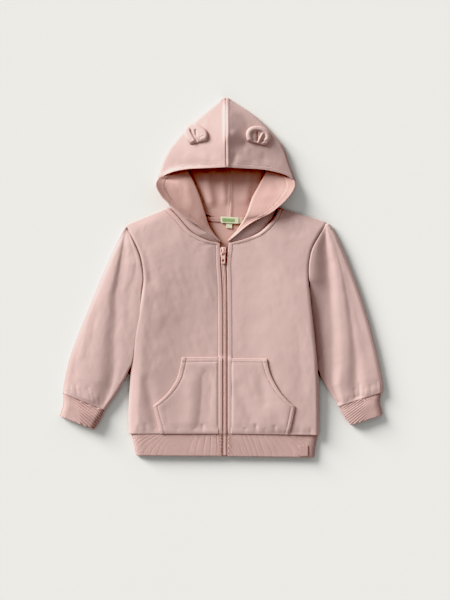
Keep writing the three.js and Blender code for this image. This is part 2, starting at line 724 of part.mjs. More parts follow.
add("back", back(), "fleece");
add("front_left", front(FRONT_LEFT), "fleece");
add("front_right", front(FRONT_RIGHT), "fleece");
add("sleeve_left", sleeve(SLEEVE_LEFT), "lit_fleece");
add("sleeve_right", sleeve(SLEEVE_RIGHT), "fleece");
add("cuff_left", cuff(CUFF_LEFT), "rib");
add("cuff_right", cuff(CUFF_RIGHT), "rib");
add("hem_band", hemBand(), "rib");
add("pocket_left", pocket(POCKET_LEFT, FRONT_LEFT), "fleece");
add("pocket_right", pocket(POCKET_RIGHT, FRONT_RIGHT), "fleece");
add("hood_left", hood(HOOD_LEFT, -1), "lit_fleece");
add("hood_right", hood(HOOD_RIGHT, 1), "fleece");
add("hood_turnout_left", turnout(TURNOUT_LEFT), "lit_fleece");
add("hood_turnout_right", turnout(TURNOUT_RIGHT), "lit_fleece");
add("ear_left", ear(EAR_LEFT), "lit_fleece");
add("ear_right", ear(EAR_RIGHT), "fleece");
add("neck_tape", neckTape(), "tape");
add("label_main", strip(-1, 28, 86.5, 97, FLEECE + 2 * SEAM + 1.5 * TAPE + 0.2, 0.03), "label");
add("label_size", strip(6, 17, 78.5, 86, FLEECE + SEAM + TAPE / 2), "label");
add("label_side", strip(29.5, 34, 84, 97, FLEECE + 2 * SEAM + 1.5 * TAPE + 0.2), "tape");
add("hem_tab", strip(124, 138.5, -285.5, -269, HEM_TOP_Z + RIB / 2 + LAID + TAPE / 2), "tape");
add("zip_tape_left", zipTape(-1), "tape");
add("zip_tape_right", zipTape(1), "tape");
add("zip_chain", zipChain(), "plastic");
add("zip_slider", slider(), "plastic");
add("zip_pull", pullTab(), "plastic");

export default sweatshirt;
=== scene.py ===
"""A child's zip-up hooded sweatshirt with two round ears, laid flat: its cloth, stitching and zip.

Tables and helpers are in millimetres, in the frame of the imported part: +X to the right, +Y to the
top of the hood, +Z up off the surface. Meshes are written in metres.
"""

import math

import bmesh
import bpy
import numpy as np
from mathutils import Matrix, Vector
from mathutils.bvhtree import BVHTree


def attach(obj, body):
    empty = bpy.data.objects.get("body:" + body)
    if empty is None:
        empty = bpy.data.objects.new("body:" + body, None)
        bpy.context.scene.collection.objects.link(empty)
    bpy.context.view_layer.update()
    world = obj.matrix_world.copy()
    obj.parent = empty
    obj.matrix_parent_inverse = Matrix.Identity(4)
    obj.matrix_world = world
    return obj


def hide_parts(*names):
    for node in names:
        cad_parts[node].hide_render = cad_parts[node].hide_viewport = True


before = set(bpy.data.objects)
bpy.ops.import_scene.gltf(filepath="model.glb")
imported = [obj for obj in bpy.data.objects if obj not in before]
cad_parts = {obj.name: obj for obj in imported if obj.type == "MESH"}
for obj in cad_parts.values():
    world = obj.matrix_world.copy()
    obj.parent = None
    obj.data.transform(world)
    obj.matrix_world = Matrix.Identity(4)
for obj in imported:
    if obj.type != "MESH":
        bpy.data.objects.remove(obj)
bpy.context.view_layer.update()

MM = 0.001
GARMENT = "garment"
OUTWARD = {"left": -1, "right": 1}

# ---- Driving sizes ----

FLEECE = 2.2          # thickness of the sweatshirt fleece
RIB = 2.6             # thickness of the ribbed hem and cuffs
RIB_CORE = 2.0        # ... of the cloth that the ribs stand on
TAPE = 0.9            # thickness of tapes and labels
FOLD_RADIUS = 1.9     # mid radius of a fold along an edge
HOOD_RADIUS = 3.0     # ... along the hood's outline
STACKED = 3.4         # mid height of a layer that lies on the one below
LAID = 0.25           # gap under a layer that lies loose
CUFF_TOP = 8.6
HEM_TOP = 8.4
ZIP_EDGE = 7.4        # mid height of the fronts beside the zip
HOOD_TIP_Y = 288
CROWN_X = 7.3         # the crown's centre seam
CROWN_PEAK = 30
CROWN_TIP = 8
SIDE_ROLL = 6         # width of the fronts' roll at the sides
PLACKET = 6.2         # width of the stitched edge beside the zip
NECK_STITCH = 7.2     # distance of the topstitching from the neck seam
FACING = 14           # width of the hem round the hood's opening
FACING_PAIR = 3.4     # distance between its two lines of stitches
MOUTH_HEM = 13        # width of the same hem where the crown shows it
POCKET_HEM = 7        # width of the stitched hem at a pocket's opening
POCKET_SIDE = 6.4     # ... of the one below the opening
POCKET_EDGE = 1.3     # distance of the outer stitches from a pocket's edge
POCKET_TOP_LINES = (1.4, 7.6)
HEM_SEAM_Y = -248.5   # top edge of the hem band
HEM_EDGE_Y = -250.5   # the fronts' lower edge, under that seam
POCKET_TOP_Y = -127   # top edge of the pockets beside the zip
POCKET_UNDER = 2.2    # how much the pocket under it lifts the placket

# Millimetres between the written sections along a front, a sleeve and a pocket
FRONT_ROW, SLEEVE_ROW, POCKET_ROW = 18, 14, 15.5

# How finely pieces are meshed: sections, then points across (lower layer, fold, upper layer)
FRONT_GRID = (172, 90)
BACK_GRID = (90, 90)
SLEEVE_GRID = (148, (14, 12, 86))
CUFF_GRID = (54, (60, 10, 150))
HEM_GRID = (34, (80, 8, 216))
POCKET_GRID = (94, 74)
HOOD_GRID = (142, (50, 12, 88))
TURNOUT_GRID = (118, (26, 12, 62))
EAR_GRID = (52, 58)
STRIP_GRID = (9, 32)

# ---- Sections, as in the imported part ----

# sideX, sideY, innerX, innerY, edge height, crest height inside the edge, middle height
FRONT_CORNER_ROW = 4
FRONT_LEFT = [
    [-153, 84, -85, 112, 3.6, 6.0, 6.5],
    [-143, 65, -69, 97, 7.0, 9.0, 8.2],
    [-132, 42, -48, 73, 10.0, 11.2, 10.0],
    [-127, 24, -24, 60, 11.4, 12.4, 10.2],
    [-124.5, 8, -2, 55, 12.0, 13.0, 10.0],
    [-124, -6, -1.5, 25, 11.8, 13.2, 9.8],
    [-126, -22, 0.8, -10, 10.8, 13.4, 9.2],
    [-131, -55, 1.6, -48, 9.6, 13.6, 8.4],
    [-139, -91, 1.8, -88, 9.2, 13.6, 7.4],
    [-143, -130, 1.8, -128, 8.0, 13.4, 7.2],
    [-146, -170, 1.8, -168, 4.6, 12.8, 7.2],
    [-148, -210, 1.8, -208, 3.0, 11.8, 7.4],
    [-148, -250.4, 1.8, -250.4, 3.0, 10.4, 8.0],
]
FRONT_RIGHT = [
    [169, 88, 90, 112, 3.6, 6.2, 6.5],
    [156, 69, 82, 94, 8.5, 10.4, 8.4],
    [144, 46, 62, 73, 12.0, 13.4, 9.0],
    [139.5, 27, 38, 62, 13.4, 14.6, 9.0],
    [138, 12, 12, 55, 13.8, 15.0, 8.8],
    [138.5, -2, 8.5, 25, 13.8, 15.2, 8.6],
    [140, -17, 9.2, -8, 13.6, 15.8, 8.4],
    [144, -55, 9.7, -48, 13.0, 16.4, 8.4],
    [148, -91, 10, -88, 12.8, 16.6, 8.4],
    [152, -130, 10, -128, 11.6, 16.4, 8.4],
    [155, -170, 10, -168, 5.8, 15.4, 8.4],
    [156, -210, 10, -208, 3.2, 14.0, 8.4],
    [156, -252.4, 10, -250.4, 3.0, 12.0, 8.4],
]
BACK_NECKLINE = [[-153, 84], [-85, 112], [12.5, 87], [90, 111], [169, 88]]

# outerX, outerY, innerX, innerY, height of the inner edge, how far it reaches under the body
UNDERARM_ROW = 6
SLEEVE_LEFT = [
    [-155.5, 80.5, -151, 81, 4.2, 0],
    [-166.5, 59, -143.6, 64.6, 7.0, 0],
    [-178, 36, -132.6, 41.8, 10.2, 0],
    [-186, 18, -127.5, 24, 11.8, 0],
    [-193, 2, -125, 8, 12.4, 0],
    [-199, -13, -124.5, -6, 12.2, 0],
    [-206, -30, -126.5, -22, 10.4, 0.5],
    [-219, -62, -131.5, -55, 8.0, 5],
    [-232, -94, -140, -91, 7.4, 6],
    [-243, -124, -144, -130, 6.4, 5],
    [-248, -143, -148.5, -151, 5.2, 0],
    [-251, -157, -159, -171, 4.2, 0],
    [-253.5, -170, -171, -191, 4.0, 0],
    [-255, -185, -187, -212.6, 4.0, 0],
]
SLEEVE_RIGHT = [
    [174, 85, 167, 86, 4.2, 0],
    [185, 66, 156.6, 69, 8.5, 0],
    [196, 43, 144.5, 46, 12.4, 0],
    [203.5, 24, 140, 27, 13.8, 0],
    [209, 10, 138.5, 12, 14.0, 0],
    [214, -3, 139, -2, 13.6, 0],
    [219, -17, 140.5, -17, 10.0, 0.5],
    [230, -50, 144.5, -55, 5.0, 5],
    [241, -88, 148.5, -91, 4.6, 6],
    [249, -120, 152.5, -130, 4.6, 5],
    [254, -144, 157, -154, 4.4, 0],
    [257, -158, 168, -174, 4.0, 0],
    [259, -170, 178, -190, 4.0, 0],
    [260, -183, 188, -206.4, 4.0, 0],
]

# The sleeves' soft folds: row, then share of the width from the outer fold and height of
# the outer ridge, its valley, the inner ridge and the valley beside the body
FOLDS_LEFT = [
    [0, 0.20, 7.4, 0.40, 7.3, 0.80, 7.6, 0.92, 7.4],
    [1.5, 0.24, 9.0, 0.38, 8.5, 0.80, 10.8, 0.92, 11.4],
    [3, 0.25, 10.2, 0.38, 8.5, 0.84, 12.0, 0.95, 12.8],
    [6, 0.27, 11.4, 0.44, 9.2, 0.66, 10.2, 0.95, 11.6],
    [8, 0.38, 12.4, 0.61, 9.6, 0.78, 10.8, 0.96, 11.2],
    [9.5, 0.46, 13.2, 0.71, 9.6, 0.86, 11.2, 0.97, 11.2],
    [11, 0.52, 13.4, 0.82, 9.4, 0.92, 10.6, 0.97, 10.4],
    [13, 0.56, 12.0, 0.91, 8.4, 0.96, 8.6, 0.98, 8.0],
]
FOLDS_RIGHT = [
    [0, 0.12, 7.6, 0.20, 7.6, 0.34, 7.6, 0.66, 6.6],
    [1.5, 0.09, 8.8, 0.14, 8.8, 0.22, 9.0, 0.52, 5.4],
    [3, 0.10, 9.0, 0.15, 8.9, 0.22, 9.4, 0.49, 4.4],
    [6, 0.12, 8.2, 0.20, 8.2, 0.30, 9.2, 0.56, 4.4],
    [8, 0.15, 8.0, 0.27, 7.4, 0.40, 9.2, 0.65, 4.4],
    [9.5, 0.16, 8.6, 0.33, 6.8, 0.51, 9.4, 0.75, 4.4],
    [11, 0.22, 9.8, 0.44, 6.4, 0.71, 9.8, 0.91, 4.6],
    [13, 0.30, 9.4, 0.54, 6.6, 0.84, 9.0, 0.98, 5.6],
]

# outerX, outerY, innerX, innerY from the sleeve's end to the open end
CUFF_LEFT = [
    [-253.8, -184.6, -187.6, -212.4],
    [-254.5, -203, -195, -227],
    [-260, -221, -204, -243],
]
CUFF_RIGHT = [
    [256.8, -182.4, 188.8, -206],
    [254.5, -200, 196.5, -221],
    [259, -219.5, 208, -236],
]

# leftX, leftY, centreY, rightX, rightY from the seam to the bottom edge
HEM_BAND = [
    [-145.4, -248, -248.4, 154.8, -250.6],
    [-141, -267, -267, 151.5, -269.5],
    [-137, -285, -286, 149, -288],
]
HEM_ENDS = (1, 9.8)   # its front edges, beside the zip

# edgeX, edgeY, innerX, innerY from the top edge down
POCKET_CORNER_ROW = 6
POCKET_LEFT = [
    [-63, -127.5, -4.2, -127],
    [-66, -144, -4.2, -142],
    [-70, -159, -4.2, -157],
    [-76, -171, -4.2, -171],
    [-87, -186, -4.2, -185],
    [-101, -199, -4.2, -198],
    [-109, -205, -4.2, -208],
    [-104, -224, -4.2, -226],
    [-97, -250.4, -4.2, -250.4],
]
POCKET_RIGHT = [
    [73, -129.5, 15.2, -129],
    [75, -142, 15.2, -142],
    [79, -155, 15.2, -156],
    [85, -168, 15.2, -170],
    [95, -184, 15.2, -185],
    [108, -198.5, 15.2, -199],
    [118, -206.5, 15.2, -209],
    [114, -227, 15.2, -228],
    [108.3, -251.4, 15.2, -250.4],
]

# foldX, foldY, crownX, crownY, backX, backY
CROWN_CORNER_ROW = 5
HOOD_LEFT = [
    [1.5, 287, 7, 288, 7.5, 288],
    [-10, 278, 7, 268, 8, 268],
    [-22, 268.5, 7, 250.5, 9, 249],
    [-44, 250, 7, 223, 10.5, 217],
    [-66, 229, 7.5, 194, 13, 185],
    [-81, 211, 8, 174.5, 14.5, 164],
    [-90, 196, -28, 173, 15, 146],
    [-95, 184, -53, 172, 15, 135],
    [-98.5, 173, -74, 168.5, 14.5, 126],
    [-102.5, 160, -91.5, 162, 14, 116],
    [-105.5, 149, -100.5, 151.5, 13, 108],
    [-100, 137, -94, 136, 12.5, 101],
    [-90, 125, -84.5, 123.5, 12.5, 95],
    [-83, 115.5, -77.5, 114, 12.5, 90],
]
HOOD_RIGHT = [
    [13, 286, 7, 288, 7.5, 288],
    [28, 276, 7, 268, 8, 268],
    [44, 266, 7, 250.5, 9, 249],
    [65, 249.5, 7, 223, 10.5, 217],
    [85, 228, 7.5, 194, 13, 185],
    [97, 214, 8, 174.5, 14.5, 164],
    [104, 200, 39, 173, 15, 146],
    [108, 187, 62, 172, 15, 135],
    [112.5, 174, 84, 168.5, 14.5, 126],
    [117, 161, 105, 162, 14, 116],
    [119.2, 150, 114, 152, 13, 108],
    [113, 137.5, 107, 136, 12.5, 101],
    [101, 124, 95.5, 122.5, 12.5, 95],
    [90, 114.5, 84.5, 113, 12.5, 90],
]

# rootX, rootY, rootZ, ridgeX, ridgeY, ridgeZ, edgeX, edgeY, edgeZ: from under the crown down to
# the top of the zip. The cloth runs in from its root to a fold, and back over itself to the edge.
TURNOUT_LEFT = [
    [-72, 162, 3.2, -57, 181, 6.6, -82, 175, 4.6],
    [-82, 150, 3.2, -50, 165, 8.0, -97, 163, 9.0],
    [-90, 138, 3.6, -43, 150, 9.0, -105, 148, 22.0],
    [-86, 124, 4.6, -34, 127, 9.4, -97.5, 131.5, 26],
    [-80, 113, 5.6, -28, 107, 9.6, -85, 118.5, 25],
    [-69, 98, 6.8, -25, 97, 9.6, -68, 103.5, 23.5],
    [-58.5, 85, 7.5, -22.5, 88, 9.6, -54, 92.5, 22],
    [-48, 74.5, 7.8, -18.5, 79, 9.6, -41, 85.5, 19.5],
    [-36, 66, 8.0, -14, 72, 9.6, -28, 76.5, 16.5],
    [-22, 59.8, 8.0, -8, 64, 9.6, -15, 67, 14],
    [-7.5, 55.8, 7.8, -1.5, 57.5, 9.4, -3.5, 58.5, 10.6],
]
TURNOUT_RIGHT = [
    [86, 160, 3.4, 74, 180, 7.6, 98, 174, 4.6],
    [96, 149, 3.4, 68, 162, 9.0, 112, 163, 6.0],
    [104, 139, 3.8, 60, 146, 11.2, 118.6, 148.5, 11],
    [97, 124, 5, 50, 127, 15, 111.5, 132.5, 18.5],
    [88, 112.5, 6, 43.5, 108, 17, 97.5, 117, 21.5],
    [81.5, 95, 7, 39.5, 98, 16.5, 80, 103, 21.5],
    [68, 79, 7.5, 35.5, 91, 13.5, 65, 95.5, 18],
    [54.5, 69.5, 7.8, 30, 82, 11, 50, 88, 16.5],
    [39, 63.5, 8.0, 24.5, 74, 10.4, 37, 79, 15.5],
    [25, 59.5, 8.0, 16.5, 65, 10.0, 24.5, 68, 13],
    [15, 56.8, 7.8, 10.5, 58, 9.8, 13, 59, 10.8],
]

# leftX, leftY, rightX, rightY from the base to the round tip
EAR_LEFT = [
    [-50, 212, -23, 217],
    [-57, 222, -21.5, 226],
    [-60, 233, -24, 234],
    [-57, 242, -31, 240.5],
    [-50, 246.5, -39, 246],
]
EAR_RIGHT = [
    [41, 217, 71, 210],
    [39, 228, 78, 221],
    [42, 236, 77, 231],
    [48, 240.5, 71, 238],
    [55, 242.5, 64, 241.5],
]

# ---- What differs between the two sides ----

# sections, width over which the crest falls, softness of the roll at the side, lift of the
# placket, depth of its groove
FRONTS = {"left": (FRONT_LEFT, 84, 0.55, 0.8, 0.4), "right": (FRONT_RIGHT, 112, 0, 0.6, 0.12)}
# sections, folds across, mid radius of the fold along the outer edge
SLEEVES = {"left": (SLEEVE_LEFT, FOLDS_LEFT, 2.6), "right": (SLEEVE_RIGHT, FOLDS_RIGHT, 3.6)}
# sections, lean of the ribs, bulge, its place across, pitch of the ribs, depth of the wide ones
CUFFS = {"left": (CUFF_LEFT, 1, 4.4, 0.78, 1.8, 0.95), "right": (CUFF_RIGHT, -1, 1.6, 0.7, 1.7, 0.35)}
# sections, between which x the pocket follows the front under it, clear of the placket
POCKETS = {"left": (POCKET_LEFT, (None, -7.4)), "right": (POCKET_RIGHT, (18.6, None))}
# sections, lift of the crown's mouth, ridge beside the centre seam, groove along it
HOODS = {"left": (HOOD_LEFT, 3.4, 0, 0.5), "right": (HOOD_RIGHT, 0.4, 0.8, 0)}
# sections, bulge of the cloth under the turnout, dip of its face at the top and at the bottom
TURNOUTS = {"left": (TURNOUT_LEFT, 6.0, (1.5, 5.5)), "right": (TURNOUT_RIGHT, 3.0, (0.4, 0.4))}
# sections, height of the padding, share of it at the edge and at the base, width of the rim and
# depth of the cup inside it
EARS = {"left": (EAR_LEFT, 7.0, 0.30, 0.12, 9.0, 0.6), "right": (EAR_RIGHT, 8.2, 0.36, 0.30, 6.0, 3.2)}

# ---- Folds, placed one by one ----
# x1, y1, x2, y2, x3, y3, half width on the left and on the right of the way it runs, rise

SLEEVE_FOLDS = [
    [-226, -70, -236, -120, -240, -170, 8, 8, -0.5],
    [-212, -60, -222, -100, -228, -140, 7, 7, 0.4],
    [-196, -40, -206, -90, -214, -150, 6, 7, -0.4],
    [206, 40, 214, 0, 224, -50, 8, 10, -0.5],
    [190, 20, 196, -30, 204, -80, 6, 6, 0.4],
]
SLEEVE_GATHERS = [
    [-242, -172, -241.5, -178, -241, -187, 1.8, 2.6, -0.31],
    [-233, -170, -231.5, -179, -230, -190, 1.6, 2.2, -0.43],
    [-225, -176, -223, -183, -220, -194, 2.0, 2.6, -0.37],
    [-215, -172, -211, -184, -207, -199, 2.2, 1.8, -0.5],
    [-206, -184, -203, -191, -199, -204, 1.8, 2.0, -0.37],
    [-196, -192, -194, -198, -192, -210, 1.6, 2.0, -0.25],
    [212, -176, 213, -184, 215, -196, 2.4, 1.8, -0.5],
    [221, -166, 221.5, -180, 222, -193, 1.6, 2.2, -0.62],
    [229, -176, 229, -182, 229, -191, 1.8, 1.6, -0.37],
    [238, -170, 238.5, -177, 239, -188, 2.4, 2.2, -0.37],
    [204, -188, 204, -195, 205, -201, 2.0, 2.2, -0.25],
    [249, -162, 249.5, -172, 250, -185, 2.0, 2.4, -0.25],
]
BODY_FOLDS = [
    [-141, 66, -119, 20, -112, -20, 9, 9, -1.0],
    [-112, -20, -113, -80, -120, -150, 12, 12, -1.0],
    [-104, -110, -94, -84, -84, -58, 7, 12, -0.35],
    [-96, -92, -84, -66, -74, -44, 5, 9, -0.2],
    [-122, -160, -108, -134, -94, -116, 7, 8, -0.5],
    [-98, -60, -84, -30, -78, 0, 10, 11, -0.5],
    [-80, -30, -66, -52, -60, -80, 8, 9, -0.4],
    [-122, -150, -114, -196, -100, -262, 9, 8, -1.8],
    [-92, -205, -88, -222, -90, -246, 6, 6, -0.4],
    [60, -66, 84, -130, 122, -228, 18, 20, 1.0],
    [118, -60, 126, -120, 130, -200, 9, 10, -0.6],
    [98, 96, 116, 80, 130, 62, 12, 9, -0.6],
    [92, 104, 104, 84, 112, 60, 9, 12, -0.6],
    [102, 106, 78, 84, 46, 62, 40, 14, 2.2],
    [24, 20, 60, -20, 80, -60, 16, 16, 0.3],
    [-66, 76, -92, 60, -118, 52, 10, 10, -0.3],
]
HEM_GATHERS = [
    [-133, -236, -132, -242, -131, -250, 3.0, 2.4, -0.5],
    [-122, -231, -120, -240, -119, -250, 2.6, 3.4, -0.6],
    [-108, -239, -107, -244, -107, -250, 3.4, 2.6, -0.35],
    [-29, -232, -29, -242, -29, -250, 1.4, 3.2, -1.2],
    [-45, -239, -44, -244, -44, -250, 3.0, 2.4, -0.35],
    [-72, -240, -71, -244, -71, -250, 3.4, 2.4, -0.4],
    [38, -239, 38, -244, 38, -250, 2.4, 3.0, -0.5],
    [55, -232, 56, -242, 56, -250, 1.8, 3.2, -1.0],
    [70, -240, 70, -244, 70, -250, 2.6, 2.4, -0.4],
    [85, -234, 86, -243, 87, -250, 2.0, 3.0, -0.8],
    [124, -237, 125, -244, 126, -250, 3.0, 3.0, -0.4],
    [143, -239, 143, -244, 143, -250, 2.6, 3.0, -0.45],
]
POCKET_FOLDS = [
    [-25, -140, -27, -196, -35, -272, 13, 9, -2.2],
    [-50, -150, -48, -196, -54, -250, 12, 12, 1.6],
    [24, -160, 36, -200, 58, -244, 9, 10, -1.3],
    [44, -150, 62, -196, 86, -236, 10, 10, 0.8],
    [66, -150, 66, -180, 72, -212, 8, 9, -0.9],
]
CROWN_FOLDS = [
    [10, 178, 23, 200, 44, 222, 13, 9, -1.7],
    [12, 292, 13, 254, 13, 206, 21, 4, 5.8],
    [17, 236, 25, 222, 38, 216, 5, 5, 1.3],
    [26, 196, 42, 192, 56, 178, 5, 6, -0.7],
    [40, 200, 58, 196, 74, 180, 6, 6, -0.5],
    [12, 172, 20, 186, 22, 200, 4, 5, -1.0],
    [-20, 250, -30, 232, -34, 214, 12, 12, 0.7],
    [-60, 200, -40, 190, -14, 188, 9, 9, 0.6],
    [-84, 190, -60, 180, -30, 178, 6, 6, -0.5],
    [60, 196, 80, 190, 98, 182, 8, 8, -0.9],
    [72, 236, 84, 218, 92, 200, 8, 8, 0.9],
]
HOOD_BACK_FOLDS = [
    [-28, 180, -21, 144, -14, 108, 7, 8, 3.0],
    [-2, 180, 3, 148, 7, 112, 6, 6, 2.6],
    [44, 180, 42, 148, 38, 112, 6, 10, 2.0],
]
FACING_FOLDS = [
    [-62, 162, -62, 138, -58, 116, 6, 7, -0.5],
    [-76, 146, -74, 128, -64, 112, 6, 6, 0.2],
    [-52, 150, -50, 128, -44, 106, 6, 6, 0.3],
    [84, 150, 76, 134, 66, 120, 7, 7, 0.5],
]
EAR_FOLDS = {
    "left": [
        [-51, 239, -45, 226, -37, 214, 1.3, 1.1, -3.4],
        [-41, 237, -40.5, 231, -40, 224, 1.2, 1.5, -1.8],
        [-46, 237, -44, 230, -40, 221, 1.6, 1.2, 0.9],
        [-35, 222, -31, 224, -27, 226, 1.0, 1.4, -0.8],
        [-50, 214, -46, 217, -42, 219, 1.6, 1.6, 0.8],
    ],
    "right": [
        [57, 234, 57, 226, 57, 214, 1.5, 1.3, -4.2],
        [67.5, 232, 62.5, 223, 57.5, 213, 1.7, 1.5, 3.4],
        [62, 229, 60, 224, 59, 219, 1.2, 1.2, -1.2],
        [64, 219, 69, 217, 73, 216, 1.2, 1.2, -1.8],
        [41, 220, 45, 219.5, 49, 219, 1.4, 1.4, 1.0],
    ],
}

# ---- Curves and heights ----


def clamp01(t):
    return np.clip(t, 0.0, 1.0)


def mix(a, b, t):
    return a + (b - a) * t


def rise(t):
    return np.sqrt(1 - (1 - clamp01(t)) ** 2)


def smooth(t):
    t = clamp01(t)
    return t * t * (3 - 2 * t)


def bell(t):
    return np.exp(-t * t)


def unit(v):
    return v / np.maximum(np.linalg.norm(v, axis=-1, keepdims=True), 1e-9)


def row_at(table, t, corner=-1):
    """Smooth interpolation of a table at row positions t, with a sharp corner kept at one row."""
    rows = np.asarray(table, float)
    t = np.atleast_1d(np.asarray(t, float))
    i = np.minimum(np.floor(t).astype(int), len(rows) - 2)
    s = (t - i)[:, None]
    p1, p2 = rows[i], rows[i + 1]
    starts = ((i == 0) | (i == corner))[:, None]
    ends = ((i + 2 > len(rows) - 1) | (i + 1 == corner))[:, None]
    p0 = np.where(starts, 2 * p1 - p2, rows[np.maximum(i - 1, 0)])
    p3 = np.where(ends, 2 * p2 - p1, rows[np.minimum(i + 2, len(rows) - 1)])
    bend = 2 * p0 - 5 * p1 + 4 * p2 - p3
    return 0.5 * (2 * p1 + (p2 - p0) * s + bend * s**2 + (3 * p1 - p0 - 3 * p2 + p3) * s**3)


def stations(count, bunch=0.6):
    """count + 1 positions from 0 to 1, closer together at both ends."""
    s = np.linspace(0, 1, count + 1)
    return s - bunch * np.sin(2 * np.pi * s) / (2 * np.pi)


def with_row(t, row):
    """The row positions t with the nearest one moved onto row."""
    t = t.copy()
    t[np.argmin(np.abs(t - row))] = row
    return t


def fold_path(row, steps=10):
    """Points along a fold: a smooth bend through its three written points."""
    p1, p2, p3 = np.array(row[:6], float).reshape(3, 2)
    control = 2 * p2 - (p1 + p3) / 2
    s = np.linspace(0, 1, steps + 1)[:, None]
    return (1 - s) ** 2 * p1 + 2 * s * (1 - s) * control + s**2 * p3


FOLD_ENDS = 0.22      # share of a fold's length in which it runs out


def folds_at(x, y, folds):
    """Sum of the folds at points: soft troughs and ridges that run out at their ends."""
    x, y = np.asarray(x, float), np.asarray(y, float)
    total = np.zeros(np.broadcast(x, y).shape)
    for row in folds:
        left, right, height = row[6:9]
        path = fold_path(row)
        reach = 3 * max(left, right)
        low, high = path.min(0) - reach, path.max(0) + reach
        near = (x > low[0]) & (x < high[0]) & (y > low[1]) & (y < high[1])
        if not near.any():
            continue
        px, py = x[near][:, None], y[near][:, None]
        start, step = path[:-1], path[1:] - path[:-1]
        t = ((px - start[:, 0]) * step[:, 0] + (py - start[:, 1]) * step[:, 1]) / (step**2).sum(1)
        t = clamp01(t)
        dx, dy = px - start[:, 0] - t * step[:, 0], py - start[:, 1] - t * step[:, 1]
        away = np.hypot(dx, dy)
        best = away.argmin(1)
        pick = (np.arange(len(best)), best)
        side = step[best, 0] * dy[pick] - step[best, 1] * dx[pick]
        leftness = 0.5 + 0.5 * side / np.hypot(*step[best].T) / max(left, right)
        width = mix(right, left, smooth(leftness))
        share = (best + t[pick]) / len(step)
        ends = smooth(share / FOLD_ENDS) * smooth((1 - share) / FOLD_ENDS)
        total[near] += height * ends * bell(away[pick] / width)
    return total


def soft_noise(x, y, cell, seed):
    """Smooth noise between -1 and 1 that changes over one cell."""
    values = np.random.RandomState(seed).uniform(-1, 1, (64, 64))
    gx, gy = x / cell, y / cell
    ix, iy = np.floor(gx).astype(int), np.floor(gy).astype(int)
    fx, fy = smooth(gx - ix), smooth(gy - iy)
    low = mix(values[ix % 64, iy % 64], values[(ix + 1) % 64, iy % 64], fx)
    high = mix(values[ix % 64, (iy + 1) % 64], values[(ix + 1) % 64, (iy + 1) % 64], fx)
    return mix(low, high, fy)


def unevenness(x, y):
    """The slight waviness of cloth smoothed by hand, with faint creases down its length."""
    waves = 0.30 * soft_noise(x, y, 31, 3) + 0.14 * soft_noise(x, y, 11, 4)
    waves = waves + 0.05 * soft_noise(x, y, 4.5, 5)
    creases = 0.20 * soft_noise(x + 0.35 * y, 0.28 * y, 7, 6)
    creases = creases + 0.10 * soft_noise(x - 0.2 * y, 0.3 * y, 4, 7)
    return waves + creases * (0.65 + 0.6 * soft_noise(x, y, 46, 10))


def seam_dip(distance, depth=0.9, reach=2.6):
    """Cloth turns down towards the seam that holds it."""
    return -depth * bell(distance / reach)


def topstitched(distance, width, lift=0.6, groove=0.55):
    """A hem that is width wide: a double layer held down by its line of stitches."""
    return lift * smooth((width - distance) / 1.6 + 0.5) - groove * bell((distance - width) / 0.9)


# ---- Meshes ----

ABOVE_ALL = 60        # a height above every piece
made = {}             # the finished pieces by name


def linked(name, data):
    """A new object, in the scene."""
    item = bpy.data.objects.new(name, data)
    bpy.context.scene.collection.objects.link(item)
    return item


def add_mesh(name, points, faces, materials, indices=None, uv=None):
    """A mesh object from points in millimetres. uv holds one pair in metres for each point."""
    mesh = bpy.data.meshes.new(name)
    mesh.from_pydata((np.asarray(points) * MM).tolist(), [], faces)
    for material in materials:
        mesh.materials.append(material)
    if indices is not None:
        mesh.polygons.foreach_set("material_index", np.asarray(indices, np.int32))
    mesh.polygons.foreach_set("use_smooth", np.full(len(mesh.polygons), True))
    if uv is not None:
        layer = mesh.uv_layers.new(name="cloth")
        corner = np.empty(len(mesh.loops), np.int32)
        mesh.loops.foreach_get("vertex_index", corner)
        layer.uv.foreach_set("vector", np.asarray(uv, np.float32)[corner].ravel())
    mesh.update()
    return linked(name, mesh)


def grid_faces(rows, columns):
    """The quads of a grid of points, and the loop of points round its edge."""
    index = np.arange(rows * columns).reshape(rows, columns)
    corners = [index[:-1, :-1], index[1:, :-1], index[1:, 1:], index[:-1, 1:]]
    loop = [index[0, :-1], index[:-1, -1], index[-1, :0:-1], index[:0:-1, 0]]
    return np.stack(corners, -1).reshape(-1, 4), np.concatenate(loop)


def turned_over(quads):
    return quads[:, [0, 3, 2, 1]]


def along_grid(grid, axis):
    """Distance of every point from the first one, along its row (1) or its column (0)."""
    steps = np.linalg.norm(np.diff(grid, axis=axis), axis=2)
    pad = [(1, 0), (0, 0)] if axis == 0 else [(0, 0), (1, 0)]
    return np.pad(np.cumsum(steps, axis=axis), pad)


def drawn_in(grid, by, over=10):
    """The grid with its four edges moved in, and the points near them moved a little less."""
    moved = grid.copy()
    for axis in (0, 1):
        way = unit(np.gradient(grid, axis=axis))
        run = along_grid(grid, axis)
        whole = run.max(axis=axis, keepdims=True)
        share = clamp01(1 - run / over) - clamp01(1 - (whole - run) / over)
        moved += way * (by * share)[..., None]
    return moved


